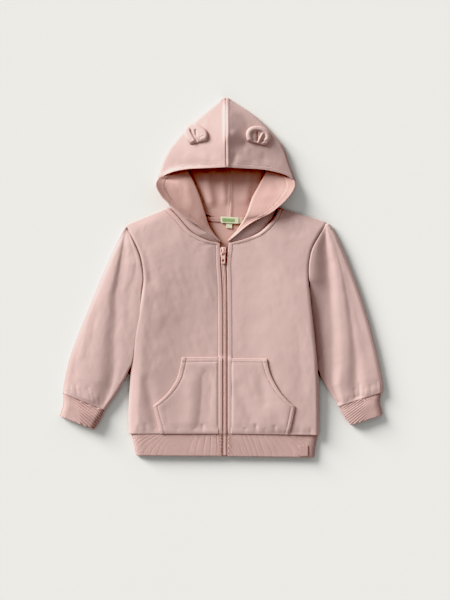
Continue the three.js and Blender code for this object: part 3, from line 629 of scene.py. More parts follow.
def shell(name, grid, thickness, outside, inside=None, flip=False, uv=None, rim=4):
    """Closed cloth of even thickness round a grid of mid points, with rounded edges. Its outside
    is up where rows run down the page and columns to the right; flip turns the columns round."""
    grid = np.asarray(grid, float)
    if flip:
        grid = grid[:, ::-1]
        uv = None if uv is None else uv[:, ::-1]
    half = thickness / 2
    uv = grid[..., :2] if uv is None else uv
    grid = drawn_in(grid, half)
    rows, columns = grid.shape[:2]
    across, down = np.gradient(grid, axis=1), np.gradient(grid, axis=0)
    normal = unit(np.cross(down, across))
    out = np.zeros_like(grid)
    out[0] -= unit(down[0])
    out[-1] += unit(down[-1])
    out[:, 0] -= unit(across[:, 0])
    out[:, -1] += unit(across[:, -1])
    out = unit(out)
    upper, loop = grid_faces(rows, columns)
    flat, flat_normal, flat_out = (a.reshape(-1, 3) for a in (grid, normal, out))
    below = rows * columns
    lower = turned_over(upper) + below
    points = [flat + half * flat_normal, flat - half * flat_normal]
    rings = [loop]
    for step in range(1, rim):
        angle = math.pi * step / rim
        swing = flat_normal[loop] * math.cos(angle) + flat_out[loop] * math.sin(angle)
        points.append(flat[loop] + half * swing)
        rings.append(2 * below + (step - 1) * len(loop) + np.arange(len(loop)))
    rings.append(loop + below)
    sides = [np.stack([r, np.roll(r, -1), np.roll(s, -1), s], -1) for r, s in zip(rings, rings[1:])]
    faces = np.concatenate([upper, lower, *sides])
    indices = np.zeros(len(faces), np.int32)
    if inside is not None:
        indices[len(upper):len(upper) + len(lower)] = 1
    flat_uv = uv.reshape(-1, 2) * MM
    maps = np.concatenate([flat_uv, flat_uv] + [flat_uv[loop]] * (rim - 1))
    materials = [outside] if inside is None else [outside, inside]
    return add_mesh(name, np.concatenate(points), faces.tolist(), materials, indices, maps)


def height_over(*names):
    """A function that gives the highest point of the named pieces at x, y, and its normal."""
    points, faces = [], []
    for name in names:
        start = len(points)
        points += [v.co / MM for v in made[name].data.vertices]
        faces += [[start + i for i in p.vertices] for p in made[name].data.polygons]
    tree = BVHTree.FromPolygons(points, faces)

    def top(x, y):
        place, normal, _, _ = tree.ray_cast(Vector((x, y, ABOVE_ALL)), Vector((0, 0, -1)))
        return place, normal

    return top


# ---- Materials ----

PINK = (0.592, 0.436, 0.409)
PINK_INSIDE = (0.602, 0.404, 0.364)
PINK_RIB = (0.590, 0.424, 0.394)
PINK_TAPE = (0.580, 0.415, 0.380)
PINK_THREAD = (0.660, 0.475, 0.440)
PINK_PLASTIC = (0.72, 0.52, 0.48)
LABEL_CREAM = (0.70, 0.69, 0.53)
LABEL_BEIGE = (0.62, 0.53, 0.42)
LABEL_GREEN = (0.34, 0.44, 0.25)
SURFACE_GREY = (0.80, 0.787, 0.755)


class Nodes:
    """Shorthand for building one material's node tree."""

    def __init__(self, name, roughness, **values):
        self.material = bpy.data.materials.new(name)
        self.material.use_nodes = True
        self.tree = self.material.node_tree
        self.shader = self.tree.nodes["Principled BSDF"]
        self.shader.inputs["Roughness"].default_value = roughness
        for socket, value in values.items():
            self.shader.inputs[socket.replace("_", " ")].default_value = value

    def add(self, kind, **settings):
        node = self.tree.nodes.new(kind)
        for key, value in settings.items():
            if hasattr(node, key):
                setattr(node, key, value)
            else:
                node.inputs[key.replace("_", " ")].default_value = value
        return node

    def link(self, source, target):
        self.tree.links.new(source, target)

    def math(self, operation, first, second):
        node = self.add("ShaderNodeMath", operation=operation)
        for socket, value in zip(node.inputs, (first, second)):
            if isinstance(value, (int, float)):
                socket.default_value = value
            else:
                self.link(value, socket)
        return node.outputs[0]

    def cloth_vector(self, x=1.0, y=1.0, turn=0.0):
        """The cloth's own map in metres, stretched and turned."""
        source = self.add("ShaderNodeUVMap", uv_map="cloth")
        mapping = self.add("ShaderNodeMapping")
        mapping.inputs["Scale"].default_value = (x, y, 1)
        mapping.inputs["Rotation"].default_value = (0, 0, turn)
        self.link(source.outputs[0], mapping.inputs["Vector"])
        return mapping.outputs[0]

    def place(self):
        return self.add("ShaderNodeTexCoord").outputs["Object"]

    def noise(self, vector, scale, detail=2.0, roughness=0.5):
        node = self.add("ShaderNodeTexNoise", Scale=scale, Detail=detail, Roughness=roughness)
        self.link(vector, node.inputs["Vector"])
        return node.outputs[0]

    def wave(self, vector, scale, distortion=0.0, direction="X"):
        node = self.add("ShaderNodeTexWave", wave_type="BANDS", bands_direction=direction,
                        Scale=scale, Distortion=distortion)
        self.link(vector, node.inputs["Vector"])
        return node.outputs[1]

    def tint(self, colour, factor, low, high):
        """The colour, made darker and lighter as the factor goes from 0 to 1."""
        ramp = self.add("ShaderNodeValToRGB")
        ramp.color_ramp.elements[0].color = (*[c * low for c in colour], 1)
        ramp.color_ramp.elements[1].color = (*[c * high for c in colour], 1)
        self.link(factor, ramp.inputs[0])
        self.link(ramp.outputs[0], self.shader.inputs["Base Color"])

    def bump(self, height, distance, strength=1.0):
        node = self.add("ShaderNodeBump", Strength=strength, Distance=distance)
        self.link(height, node.inputs["Height"])
        self.link(node.outputs[0], self.shader.inputs["Normal"])


def fleece_material(name, colour, nap):
    """Knitted sweatshirt cloth: fine wales with small loops under a soft brushed nap."""
    m = Nodes(name, 0.68, Sheen_Weight=0.18, Sheen_Roughness=0.5, Sheen_Tint=(1, 0.97, 0.96, 1),
              Specular_IOR_Level=0.35)
    fuzz = m.noise(m.cloth_vector(1.0, 0.45), 1500, 3.0, 0.6)
    mottle = m.noise(m.place(), 26, 3.0, 0.6)
    heather = m.noise(m.cloth_vector(1.0, 0.3), 520, 2.0, 0.6)
    wales = m.wave(m.cloth_vector(), 300, 0.6, "X")
    loops = m.wave(m.cloth_vector(), 230, 1.2, "Y")
    knit = m.math("MULTIPLY", wales, m.math("MULTIPLY_ADD", loops, 0.5))
    height = m.math("ADD", m.math("MULTIPLY", knit, 1 - nap), m.math("MULTIPLY", fuzz, nap))
    shade = m.math("ADD", m.math("MULTIPLY", mottle, 0.45), m.math("MULTIPLY", heather, 0.35))
    m.tint(colour, m.math("ADD", shade, m.math("MULTIPLY", fuzz, 0.2)), 0.90, 1.10)
    m.bump(height, 0.00035, 0.55)
    return m.material


def rib_material(name, colour):
    """Rib knit: the ribs themselves are in the mesh, this adds the stitches on them."""
    m = Nodes(name, 0.9, Sheen_Weight=0.18, Sheen_Roughness=0.5, Sheen_Tint=(1, 0.92, 0.9, 1),
              Specular_IOR_Level=0.22)
    loops = m.wave(m.cloth_vector(), 330, 1.5, "Y")
    fuzz = m.noise(m.cloth_vector(1.0, 0.5), 1700, 3.0, 0.6)
    mottle = m.noise(m.place(), 40, 3.0, 0.6)
    shade = m.math("ADD", m.math("MULTIPLY", mottle, 0.6), m.math("MULTIPLY", fuzz, 0.4))
    m.tint(colour, shade, 0.88, 1.12)
    m.bump(m.math("ADD", loops, fuzz), 0.0003, 0.5)
    return m.material


def woven_material(name, colour, low=0.9, high=1.1, pitch=900):
    """A small twill, for tapes and labels."""
    m = Nodes(name, 0.75, Sheen_Weight=0.08, Specular_IOR_Level=0.3)
    twill = m.wave(m.cloth_vector(1.0, 1.0, 0.8), pitch, 0.3, "X")
    weft = m.wave(m.cloth_vector(), pitch * 1.3, 0.2, "Y")
    height = m.math("ADD", twill, weft)
    m.tint(colour, m.math("MULTIPLY", height, 0.5), low, high)
    m.bump(height, 0.00018, 0.6)
    return m.material


def thread_material(name, colour):
    """Twisted sewing thread."""
    m = Nodes(name, 0.62, Sheen_Weight=0.15, Specular_IOR_Level=0.35)
    twist = m.noise(m.place(), 2200, 2.0, 0.6)
    m.tint(colour, twist, 0.86, 1.12)
    m.bump(twist, 0.00012, 0.5)
    return m.material


def plastic_material(name, colour, roughness):
    """Moulded or painted zip parts, a little uneven in colour and grain."""
    m = Nodes(name, roughness, Specular_IOR_Level=0.5, Coat_Weight=0.15, Coat_Roughness=0.3)
    grain = m.noise(m.place(), 900, 4.0, 0.6)
    cloud = m.noise(m.place(), 160, 2.0, 0.5)
    shade = m.math("ADD", m.math("MULTIPLY", grain, 0.4), m.math("MULTIPLY", cloud, 0.6))
    m.tint(colour, shade, 0.9, 1.1)
    m.bump(grain, 0.00006, 0.4)
    return m.material


fleece = fleece_material("pink_fleece", PINK, 0.5)
fleece_inside = fleece_material("pink_fleece_brushed", PINK_INSIDE, 0.8)
ribbing = rib_material("pink_rib", PINK_RIB)
tape_cloth = woven_material("pink_tape", PINK_TAPE)
neck_cloth = woven_material("pink_neck_tape", PINK_INSIDE)
thread = thread_material("pink_thread", PINK_THREAD)
coil_plastic = plastic_material("zip_coil", PINK_PLASTIC, 0.42)
slider_paint = plastic_material("zip_paint", PINK_PLASTIC, 0.34)
label_cloth = woven_material("label_cream", LABEL_CREAM, 0.93, 1.05, 1300)
side_cloth = woven_material("label_beige", LABEL_BEIGE, 0.93, 1.05, 1300)
label_field = woven_material("label_green", LABEL_GREEN, 0.75, 1.25, 380)


def finish_piece(piece, slot, *nodes, body=GARMENT):
    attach(piece, body)
    if nodes:
        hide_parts(*nodes)
    made[piece.name] = piece
    return piece


def fleece_piece(node, grid, side=None, uv=None):
    """A piece of fleece. Grids start at the outer edge on both sides, so the right one flips."""
    piece = shell(f"{node}_cloth", grid, FLEECE, fleece, fleece_inside, side == "right", uv)
    return finish_piece(piece, "fleece", node)


# ---- Fronts and back ----

def panel(table, corner, t, u):
    """Points and other columns of a panel at row positions t and shares u across it."""
    rows = row_at(table, t, corner)
    start, end = rows[:, None, 0:2], rows[:, None, 2:4]
    flat = start + (end - start) * u[None, :, None]
    return flat, rows, np.hypot(*(rows[:, 2:4] - rows[:, 0:2]).T)[:, None]


def front(side):
    table, fall, soft_roll, placket_lift, groove = FRONTS[side]
    t = with_row((len(table) - 1) * stations(FRONT_GRID[0], 0.35), FRONT_CORNER_ROW)
    u = stations(FRONT_GRID[1], 0.7)
    flat, rows, width = panel(table, FRONT_CORNER_ROW, t, u)
    x, y = flat[..., 0], flat[..., 1]
    t = t[:, None]
    from_side, from_inner = u * width, (1 - u) * width
    from_top = t * FRONT_ROW + 0 * x
    edge, crest, middle = (rows[:, i:i + 1] for i in (4, 5, 6))
    z = middle + (crest - middle) * (1 - smooth((from_side - SIDE_ROLL) / fall))
    z = mix(z, ZIP_EDGE, (1 - smooth(from_inner / 26)) * smooth((t - 3) / 1.5))
    inside = smooth(from_side / 12) * smooth(from_top / 10)
    from_middle = from_inner / np.where(t < FRONT_CORNER_ROW, 4, 16)
    z = z + (folds_at(x, y, BODY_FOLDS) + unevenness(x, y)) * inside * smooth(from_middle)
    z = z + folds_at(x, y, HEM_GATHERS)
    soft = smooth(from_side / 20 + 0.1)
    z = edge + (z - edge) * mix(rise(from_side / SIDE_ROLL), soft, soft_roll * smooth((t - 6) / 2))
    z = z + smooth((UNDERARM_ROW + 0.6 - t) / 0.6) * seam_dip(from_side, 0.5, 2.0)
    z = STACKED + (z - STACKED) * rise(from_top / 15)
    on_zip = smooth((t - FRONT_CORNER_ROW) / 0.25 + 1)
    placket_lift = placket_lift + POCKET_UNDER * smooth((POCKET_TOP_Y - y) / 3)
    z = z + on_zip * topstitched(from_inner, PLACKET, placket_lift, groove)
    neck_seam = topstitched(from_inner, NECK_STITCH, 0.7, 0.8) + seam_dip(from_inner, 0.6, 1.6)
    z = z + (1 - on_zip) * neck_seam
    from_hem = np.maximum(y - HEM_EDGE_Y, 0)
    z = mix(z, np.maximum(HEM_TOP + 0.8, z - 1), bell(from_hem / 7) * smooth(from_side / 14))
    return fleece_piece(f"front_{side}", np.dstack([x, y, np.maximum(z, 3.0)]), side)


def back():
    """The back panel lies outside down on the surface, a little inside the fronts' edges."""
    t = np.linspace(0, len(FRONT_LEFT) - 1, BACK_GRID[0])
    u = np.linspace(0, 1, BACK_GRID[1])
    left, right = row_at(FRONT_LEFT, t)[:, :2], row_at(FRONT_RIGHT, t)[:, :2]
    inset = np.array([3.0, 0])
    left, right = (left + inset)[:, None], (right - inset)[:, None]
    flat = left + (right - left) * u[None, :, None]
    x, y = flat[..., 0], flat[..., 1]
    line = np.array(BACK_NECKLINE, float)
    straight = mix(FRONT_LEFT[0][1], FRONT_RIGHT[0][1], u)[None, :]
    y = y + (1 - smooth(t / 7))[:, None] * (np.interp(x, line[:, 0], line[:, 1]) - straight)
    z = FLEECE / 2 + LAID * (1 + soft_noise(x, y, 24, 8))
    faces = fleece_piece("back", np.dstack([x, y, z])).data.polygons
    faces.foreach_set("material_index", 1 - np.array([p.material_index for p in faces], np.int32))


for side in OUTWARD:
    front(side)
back()

# ---- Folded tubes ----


def folded_section(lower_end, fold, upper_end, thickness, counts, under, cover, bend_radius):
    """One section of cloth that is folded over at an edge: along the lower layer from its end to
    the fold, round the fold, and along the upper layer to its end. under(x, y) lifts the lower
    layer, and cover(x, y, from_fold, from_end, fold_top) is the height of the upper one."""
    lower_end, fold, upper_end = (np.asarray(p, float)[:2] for p in (lower_end, fold, upper_end))
    room = np.hypot(*(upper_end - fold)) - thickness / 2
    radius = min(bend_radius, 0.6 * room)
    lower_start, upper_start = (
        fold + (p - fold) * (radius + thickness / 2) / np.hypot(*(p - fold))
        for p in (lower_end, upper_end))
    base = thickness / 2
    s = stations(counts[0], 0.3)[:-1, None]
    lower = lower_end + (lower_start - lower_end) * s
    lower_z = base + under(lower[:, 0], lower[:, 1]) * smooth((1 - s[:, 0]) / 0.2)
    turn = np.linspace(0, 1, counts[1] + 1)[:-1, None]
    centre = lower_start + (upper_start - lower_start) * turn
    swing = np.sin(np.pi * turn) * radius / np.hypot(*(fold - centre).T)[:, None]
    bend = fold + (centre - fold) * (1 - swing)
    bend_z = base + radius * (1 - np.cos(np.pi * turn[:, 0]))
    s = stations(counts[2], 0.55)[:, None]
    upper = upper_start + (upper_end - upper_start) * s
    length = np.hypot(*(upper_end - upper_start))
    from_fold, from_end = s[:, 0] * length, (1 - s[:, 0]) * length
    upper_z = cover(upper[:, 0], upper[:, 1], from_fold, from_end, base + 2 * radius)
    flat = np.concatenate([lower, bend, upper])
    return np.column_stack([flat, np.concatenate([lower_z, bend_z, upper_z])])


def on_floor(x, y):
    return 0 * x


def arc_map(grid):
    """The cloth's own map: across the sections, and along the tube."""
    across = along_grid(grid, 1)
    along = along_grid(grid, 0).mean(axis=1, keepdims=True)
    return np.dstack([across - across[:, -1:], -along + 0 * across])


def valley_ease(s, falling):
    """From 0 to 1, with broad tops and narrower valleys."""
    return smooth(s) ** 1.5 if falling else 1 - smooth(1 - s) ** 1.5


def folds_across(table, t, share, start, end):
    """Height across a sleeve: from its outer fold over the ridges and valleys of the table."""
    rows = np.array(table, float)
    row = [np.interp(t, rows[:, 0], rows[:, i]) for i in range(1, rows.shape[1])]
    shares, heights = [0, *row[0::2], 1], [start, *row[1::2], end]
    z = np.full(share.shape, float(start))
    for i in range(len(shares) - 1):
        s = clamp01((share - shares[i]) / max(shares[i + 1] - shares[i], 1e-3))
        ease = s * (1.7 - 0.7 * s) if i == 0 else valley_ease(s, heights[i + 1] < heights[i])
        z = z + (heights[i + 1] - heights[i]) * ease
    return z


def sleeve(side):
    table, folds, radius = SLEEVES[side]
    sections = []
    last = len(table) - 1
    for t in last * stations(SLEEVE_GRID[0], 0.3):
        row = row_at(table, t)[0]
        outer, inner, end, reach = row[0:2], row[2:4], row[4], max(row[5], 0)
        from_cuff = (last - t) * SLEEVE_ROW
        seam = smooth((UNDERARM_ROW + 0.4 - t) / 0.6)

        def cover(x, y, from_fold, from_end, fold_top):
            wide = from_fold + from_end
            share = from_fold / wide
            z = folds_across(folds, t, share, fold_top + 0.8, end)
            z = mix(mix(fold_top, end, share), z, smooth(wide / 32))
            relief = folds_at(x, y, SLEEVE_FOLDS) + unevenness(x, y)
            z = z + relief * smooth(from_fold / 14) * smooth(from_end / 8)
            z = z + folds_at(x, y, SLEEVE_GATHERS) + 0.6 * bell((from_cuff - 8) / 6)
            z = mix(CUFF_TOP + 0.9, z, smooth((from_cuff + 1.5) / 7))
            z = fold_top + (z - fold_top) * rise(from_fold / 6)
            z = mix(end + (z - end) * rise((from_end + 0.5) / 5), z, seam)
            return np.maximum(z + seam * seam_dip(from_end, 1.1, 1.7), STACKED)

        reached = inner - [OUTWARD[side] * reach, 0]
        sections.append(folded_section(
            inner, outer, reached, FLEECE, SLEEVE_GRID[1], on_floor, cover, radius))
    grid = np.array(sections)
    fleece_piece(f"sleeve_{side}", grid, side, arc_map(grid))


def ribs(across, pitch, height):
    """A round rib and a narrow trough for every pitch."""
    return height * (np.abs(np.cos(np.pi * across / pitch)) ** 0.7 - 0.6)


def ribbed(node, grid, flip, rib_of):
    """A ribbed band: the grid is moved along its own outside by the ribs."""
    across, down = np.gradient(grid, axis=1), np.gradient(grid, axis=0)
    normal = unit(np.cross(down, across)) * (-1 if flip else 1)
    grid = grid + normal * rib_of(grid)[..., None]
    grid[..., 2] = np.maximum(grid[..., 2], RIB / 2)
    piece = shell(f"{node}_rib", grid, RIB_CORE, ribbing, flip=flip, uv=arc_map(grid))
    finish_piece(piece, "rib", node)


def cuff(side):
    table, lean, bulge, peak, pitch, depth = CUFFS[side]
    sections = []
    for t in np.linspace(0, len(table) - 1, CUFF_GRID[0]):
        row = row_at(table, t)[0]

        def cover(x, y, from_fold, from_end, fold_top):
            share = from_fold / (from_fold + from_end)
            puff = smooth(t) * bulge * np.sin(np.pi * clamp01((share - peak) / 2 + 0.5))
            z = CUFF_TOP + 0.25 * soft_noise(x, y, 13, 21) + puff
            z = fold_top + (z - fold_top) * rise(from_fold / 10)
            return STACKED + 0.8 + (z - STACKED - 0.8) * rise(from_end / 9)

        inner, outer = row[2:4], row[0:2]
        sections.append(folded_section(
            inner, outer, inner, RIB, CUFF_GRID[1], on_floor, cover, FOLD_RADIUS))

    def rib_of(points):
        x, y = points[..., 0] * lean, points[..., 1]
        bow = 0.004 * (y + 214) ** 2
        across = 0.62 * x + 0.78 * y + bow + 0.6 * soft_noise(x, y, 17, 23)
        shown = smooth((x + 236) / 14) * (points[..., 2] > 4)
        wide = shown * depth * np.cos(2 * np.pi * across / (2 * pitch))
        return ribs(across, pitch, 0.35) + wide

    ribbed(f"cuff_{side}", np.array(sections), side == "right", rib_of)


def hem_band():
    """One band from front edge to front edge, round the back."""
    sections = []
    for t in np.linspace(0, len(HEM_BAND) - 1, HEM_GRID[0]):
        left_x, left_y, centre_y, right_x, right_y = row_at(HEM_BAND, t)[0]
        middle = [sum(HEM_ENDS) / 2, centre_y]

        def cover(x, y, from_fold, from_end, fold_top):
            z = HEM_TOP + 0.3 * soft_noise(x, y, 26, 31)
            return fold_top + (z - fold_top) * rise(from_fold / 12)

        left, right = (
            folded_section(
                middle, corner, [end, centre_y], RIB, HEM_GRID[1], on_floor, cover, FOLD_RADIUS)
            for corner, end in zip(([left_x, left_y], [right_x, right_y]), HEM_ENDS))
        sections.append(np.concatenate([left[::-1], right[1:]]))
    grid = np.array(sections)
    run = along_grid(grid, 1)
    run = run - run[:, grid.shape[1] // 2][:, None]

    def rib_of(points):
        x, y = points[..., 0], points[..., 1]
        drop = y + 268
        lean = np.clip((x - 5) / 90, -1.2, 1.2)
        wander = 2.2 * soft_noise(x, y, 21, 33)
        swept = x + lean * drop * 0.75 + wander + 0.02 * drop**2 * lean
        ripple = np.cos(2 * np.pi * (swept + 3 * soft_noise(swept, y * 0.2, 19, 36)) / 9.5)
        upper = points[..., 2] > 4
        strength = clamp01(0.45 + 0.9 * soft_noise(swept, y, 23, 35))
        drawn = np.where(upper, 0.34 * strength * np.maximum(ripple, -0.3) ** 3, 0)
        return ribs(run, 2.3, 0.5) + drawn

    ribbed("hem_band", grid, False, rib_of)


for make in (sleeve, cuff):
    for side in OUTWARD:
        make(side)
hem_band()

# ---- Pockets ----


def pocket(side):
    table, clear = POCKETS[side]
    top = height_over(f"front_{side}_cloth")
    t = with_row((len(table) - 1) * stations(POCKET_GRID[0], 0.45), POCKET_CORNER_ROW)
    u = stations(POCKET_GRID[1], 0.75)
    flat, _, width = panel(table, POCKET_CORNER_ROW, t, u)
    x, y = flat[..., 0], flat[..., 1]
    t = t[:, None]
    from_edge = u * width + 0 * x
    from_top = t * POCKET_ROW + 0 * x
    lines = zip(x.clip(*clear), y.clip(min=HEM_SEAM_Y))
    under = np.array([[top(px, py)[0].z for px, py in zip(*line)] for line in lines])
    opening = t < POCKET_CORNER_ROW
    puff = 0.9 * smooth(from_edge / 14) * smooth(from_top / 14) * smooth((y + 247) / 16)
    z = under + (LAID + FLEECE / 2) + puff * smooth((1 - u) * width / 5)
    z = z + folds_at(x, y, POCKET_FOLDS) * 0.8 + 0.5 * np.minimum(folds_at(x, y, HEM_GATHERS), 0)
    open_hem = topstitched(from_edge, POCKET_HEM, 0.6, 0.7)
    z = z + np.where(opening, open_hem, topstitched(from_edge, POCKET_SIDE, 0.2, 0.6))
    z = z - 0.5 * bell((from_edge - POCKET_EDGE) / 0.8) * np.where(opening, 0.5, 1.0)
    first, second = POCKET_TOP_LINES
    z = z - 0.5 * bell((from_top - first) / 0.9) - 0.6 * bell((from_top - second) / 0.9)
    z = np.maximum(z, under + 0.1 + FLEECE / 2) - 1.6 * bell((y + 251) / 5)
    fleece_piece(f"pocket_{side}", np.dstack([x, y, z]), side)


for side in OUTWARD:
    pocket(side)

# ---- Hood ----


def crown_top(x, y):
    """Outer height of the crown. It falls from the centre seam to the outline on each side."""
    down = np.maximum(HOOD_TIP_Y - y, 1)
    full = np.minimum(down, 103)
    left = x < CROWN_X
    spread = np.where(left, 1.6, 1.8) - np.where(left, 0.006, 0.0078) * full
    half_width = full * spread + 0.3 * (down - full)
    ledge = np.where(left, 0, np.minimum(3.5, 0.08 * down))
    share = clamp01((np.abs(x - CROWN_X) - ledge) / np.maximum(half_width - ledge, 4))
    peak = mix(CROWN_TIP, CROWN_PEAK, np.sin(np.pi / 2 * clamp01(down / 114)))
    rim = 2 * HOOD_RADIUS + FLEECE
    rounded = 0.3 * (1 - share) ** 5 + 0.7 * (1 - share) ** 0.6
    steep = mix(1.12 * (1 - share), rounded, smooth((down - 26) / 55))
    return rim + np.maximum(peak - rim, 0) * np.where(left, (1 - share) ** 0.85, steep)


def hood(side):
    table, mouth_lift, ridge, groove = HOODS[side]
    out = OUTWARD[side]
    sections = []
    for t in with_row((len(table) - 1) * stations(HOOD_GRID[0], 0.2), CROWN_CORNER_ROW):
        row = row_at(table, t, CROWN_CORNER_ROW)[0]
        fold, crown = row[0:2], row[2:4] + [out * 0.2, 0]
        back_end = row[4:6] - [out * 0.4, 0]
        lip = smooth((t - CROWN_CORNER_ROW - 4.3) / 0.5)
        mouth = mouth_lift * smooth((t - CROWN_CORNER_ROW) / 1.5)

        def cover(x, y, from_fold, from_end, fold_top):
            z = crown_top(x, y) - FLEECE / 2
            inside = smooth(from_fold / 18)
            z = z + (folds_at(x, y, CROWN_FOLDS) + unevenness(x, y)) * inside
            z = z + mouth * bell(from_end / 12) * inside
            if t < CROWN_CORNER_ROW:
                beside = np.abs(x - CROWN_X)
                z = z + ridge * bell((beside - 3.0) / 2.0) - groove * bell(beside / 1.4)
            else:
                z = z + topstitched(from_end, MOUTH_HEM, 0.3, 0.25)
            return mix(z, fold_top + 0.3, lip)

        def under(x, y):
            wander = 14.5 + 0.6 * np.sin(y / 5.5)
            seam = 1.1 * bell((x - wander) / 3.4)
            raised = np.maximum(folds_at(x, y, HOOD_BACK_FOLDS), 0) + seam
            return raised + LAID * (1 + soft_noise(x, y, 22, 9))

        sections.append(folded_section(
            back_end, fold, crown, FLEECE, HOOD_GRID[1], under, cover, HOOD_RADIUS))
    grid = np.array(sections)
    fleece_piece(f"hood_{side}", grid, side, arc_map(grid))


def turnout(side):
    """The turned-out front edge of one side of the hood, with its hem along the edge."""
    table, leg_bulge, dips = TURNOUTS[side]
    leg_count, turn_count, face_count = TURNOUT_GRID[1]
    sections = []
    for t in (len(table) - 1) * stations(TURNOUT_GRID[0], 0.1):
        row = row_at(table, t)[0]
        root, ridge, edge = row[0:3], row[3:6], row[6:9]
        sewn = smooth(t - 2)
        root = root + sewn * np.array([*(unit(root[:2] - ridge[:2]) * 1.4), -1.4])
        radius = min(3.0, 0.28 * (ridge[2] - root[2]) + 0.7)
        inward = [unit(end[:2] - ridge[:2]) for end in (root, edge)]
        first = np.array([*(ridge[:2] + inward[0] * radius), ridge[2] - 2 * radius])
        second = np.array([*(ridge[:2] + inward[1] * radius), ridge[2]])
        s = stations(leg_count, 0.3)[:-1, None]
        leg = root + (first - root) * s
        from_root = s[:, 0] * np.hypot(*(first - root)[:2])
        bulge = sewn * leg_bulge * np.sin(np.pi * clamp01(from_root / 30))
        leg[:, 2] += bulge * clamp01((edge[2] - 11) / 6)
        turn = np.linspace(0, 1, turn_count + 1)[:-1, None]
        centre = first + (second - first) * turn
        bend = centre + (ridge - centre) * np.sin(np.pi * turn)
        bend[:, 2] = ridge[2] - radius * (1 + np.cos(np.pi * turn[:, 0]))
        s = stations(face_count, 0.5)[:, None]
        face = second + (edge - second) * s
        width = np.hypot(*(edge - second)[:2])
        hem_share = smooth(width / 24 - 0.4)
        face[:, 2] += hem_share * topstitched((1 - s[:, 0]) * width, FACING, 0.5, 0.5)
        dip = mix(*dips, smooth((4.5 - t) / 2)) * smooth((edge[2] - 9) / 6)
        face[:, 2] -= dip * np.sin(np.pi * s[:, 0] ** 1.8)
        beyond_ridge = smooth(s[:, 0] / 0.2)
        face[:, 2] += folds_at(face[:, 0], face[:, 1], FACING_FOLDS) * beyond_ridge
        face[:, 2] += unevenness(face[:, 0], face[:, 1]) * beyond_ridge
        sections.append(np.concatenate([leg, bend, face]))
    grid = np.array(sections)
    fleece_piece(f"hood_turnout_{side}", grid, side, arc_map(grid))


for make in (hood, turnout):
    for side in OUTWARD:
        make(side)

# ---- Ears ----


def outline_distance(points, outline):
    """Distance in plan from each point to the nearest point of an outline."""
    away = points.reshape(-1, 1, 2) - outline.reshape(1, -1, 2)
    return np.hypot(away[..., 0], away[..., 1]).min(axis=1).reshape(points.shape[:2])


def ear(side):
    """A lightly padded round ear, cupped forward by the pleat at its base."""
    table, thick, low, low_base, rim, cup = EARS[side]
    rows, columns = EAR_GRID
    t = np.linspace(0, len(table) - 1, rows)
    u = 0.5 - 0.5 * np.cos(np.pi * np.linspace(0, 1, columns))
    flat = panel(table, -1, t, u)[0]
    x, y = flat[..., 0], flat[..., 1]
    edge = outline_distance(flat, np.concatenate([flat[:, 0], flat[-1], flat[::-1, -1]]))
    from_base = outline_distance(flat, flat[0])
    body = thick * (low + (1 - low) * rise(edge / 4.5))
    body = body * (low_base + (1 - low_base) * rise(from_base / 9))
    hollow = -cup * smooth((edge - rim) / 3.0) * smooth(from_base / 5)
    relief = folds_at(x, y, EAR_FOLDS[side]) * smooth(edge / 2.5)
    base = crown_top(x, y) - 0.6
    top = base + np.maximum(body + hollow + relief, 1.4)
    points = np.concatenate([np.dstack([x, y, z]).reshape(-1, 3) for z in (top, base)])
    lower, loop = grid_faces(rows, columns)
    upper = turned_over(lower)
    count = rows * columns
    ahead = np.roll(loop, -1)
    wall = np.stack([ahead, loop, loop + count, ahead + count], -1)
    faces = np.concatenate([upper, lower + count, wall])
    uv = points[:, :2] * MM
    piece = add_mesh(f"ear_{side}_padded", points, faces.tolist(), [fleece], None, uv)
    finish_piece(piece, "fleece", f"ear_{side}")


for side in OUTWARD:
    ear(side)

# ---- Tapes and labels ----

ON_BACK = FLEECE + 0.7
ON_HEM = HEM_TOP + RIB / 2 + 0.5
NECK_X = 9            # the middle of the back neck

# piece: node, left, right, bottom, top, mid height, slope, bow, cloth, slot, thickness
STRIPS = {
    "neck_tape_cloth":
        ("neck_tape", -58, 74, 89, 96, ON_BACK + (TAPE / 2 + 0.3), 0, 0.0022, neck_cloth, "tape", TAPE),
    "label_main_cloth":
        ("label_main", -1, 28, 87.5, 98, ON_BACK + 1.9, -0.06, 0, label_cloth, "label", TAPE),
    "label_main_field":
        ("label_main", 1.4, 21.0, 90, 95.2, ON_BACK + 2.2, -0.06, 0, label_field, "label", 0.7),
    "label_size_cloth":
        ("label_size", 7.5, 17.5, 79.5, 88, ON_BACK + 0.9, -0.12, 0, label_cloth, "label", TAPE),
    "label_side_cloth":
        ("label_side", 27, 34.5, 86, 95, ON_BACK + 1.3, 0.14, 0, side_cloth, "label", TAPE),
    "hem_tab_cloth":
        ("hem_tab", 124, 138.5, -286, -268, ON_HEM, 0, 0, tape_cloth, "tape", TAPE),
}


def strip(name, node, left, right, bottom, top, height, slope, bow, material, slot, thickness):
    """A strip of tape or label that lies over what is under it."""
    x = mix(left, right, np.linspace(0, 1, STRIP_GRID[1]))[None, :] + np.zeros((STRIP_GRID[0], 1))
    y = mix(bottom, top, np.linspace(1, 0, STRIP_GRID[0]))[:, None] + slope * (x - left)
    y = y + bow * (x - NECK_X) ** 2
    piece = shell(name, np.dstack([x, y, np.full(x.shape, height)]), thickness, material)
    finish_piece(piece, slot, node)


for name, row in STRIPS.items():
    strip(name, *row)

# ---- Zip ----

CHAIN_TOP = 9.2
ZIP_X = 5.4           # the closed zip's centre line
SLIDER_X = 2.9        # the centre line at the slider
SLIDER_TOP_Y = 49
SLIDER_BOTTOM_Y = 32
HEM_BOTTOM_Y = -286
TOOTH_PITCH = 1.6
# Across a tape: distance from the centre line, mid height
TAPE_SECTION = [
    [0.35, 5.6],
    [1.4, 6.4],
    [2.6, 7.5],
    [3.3, 7.6],
    [4.1, 6.9],
    [5.2, 6.0],
    [8.3, 5.7],
]
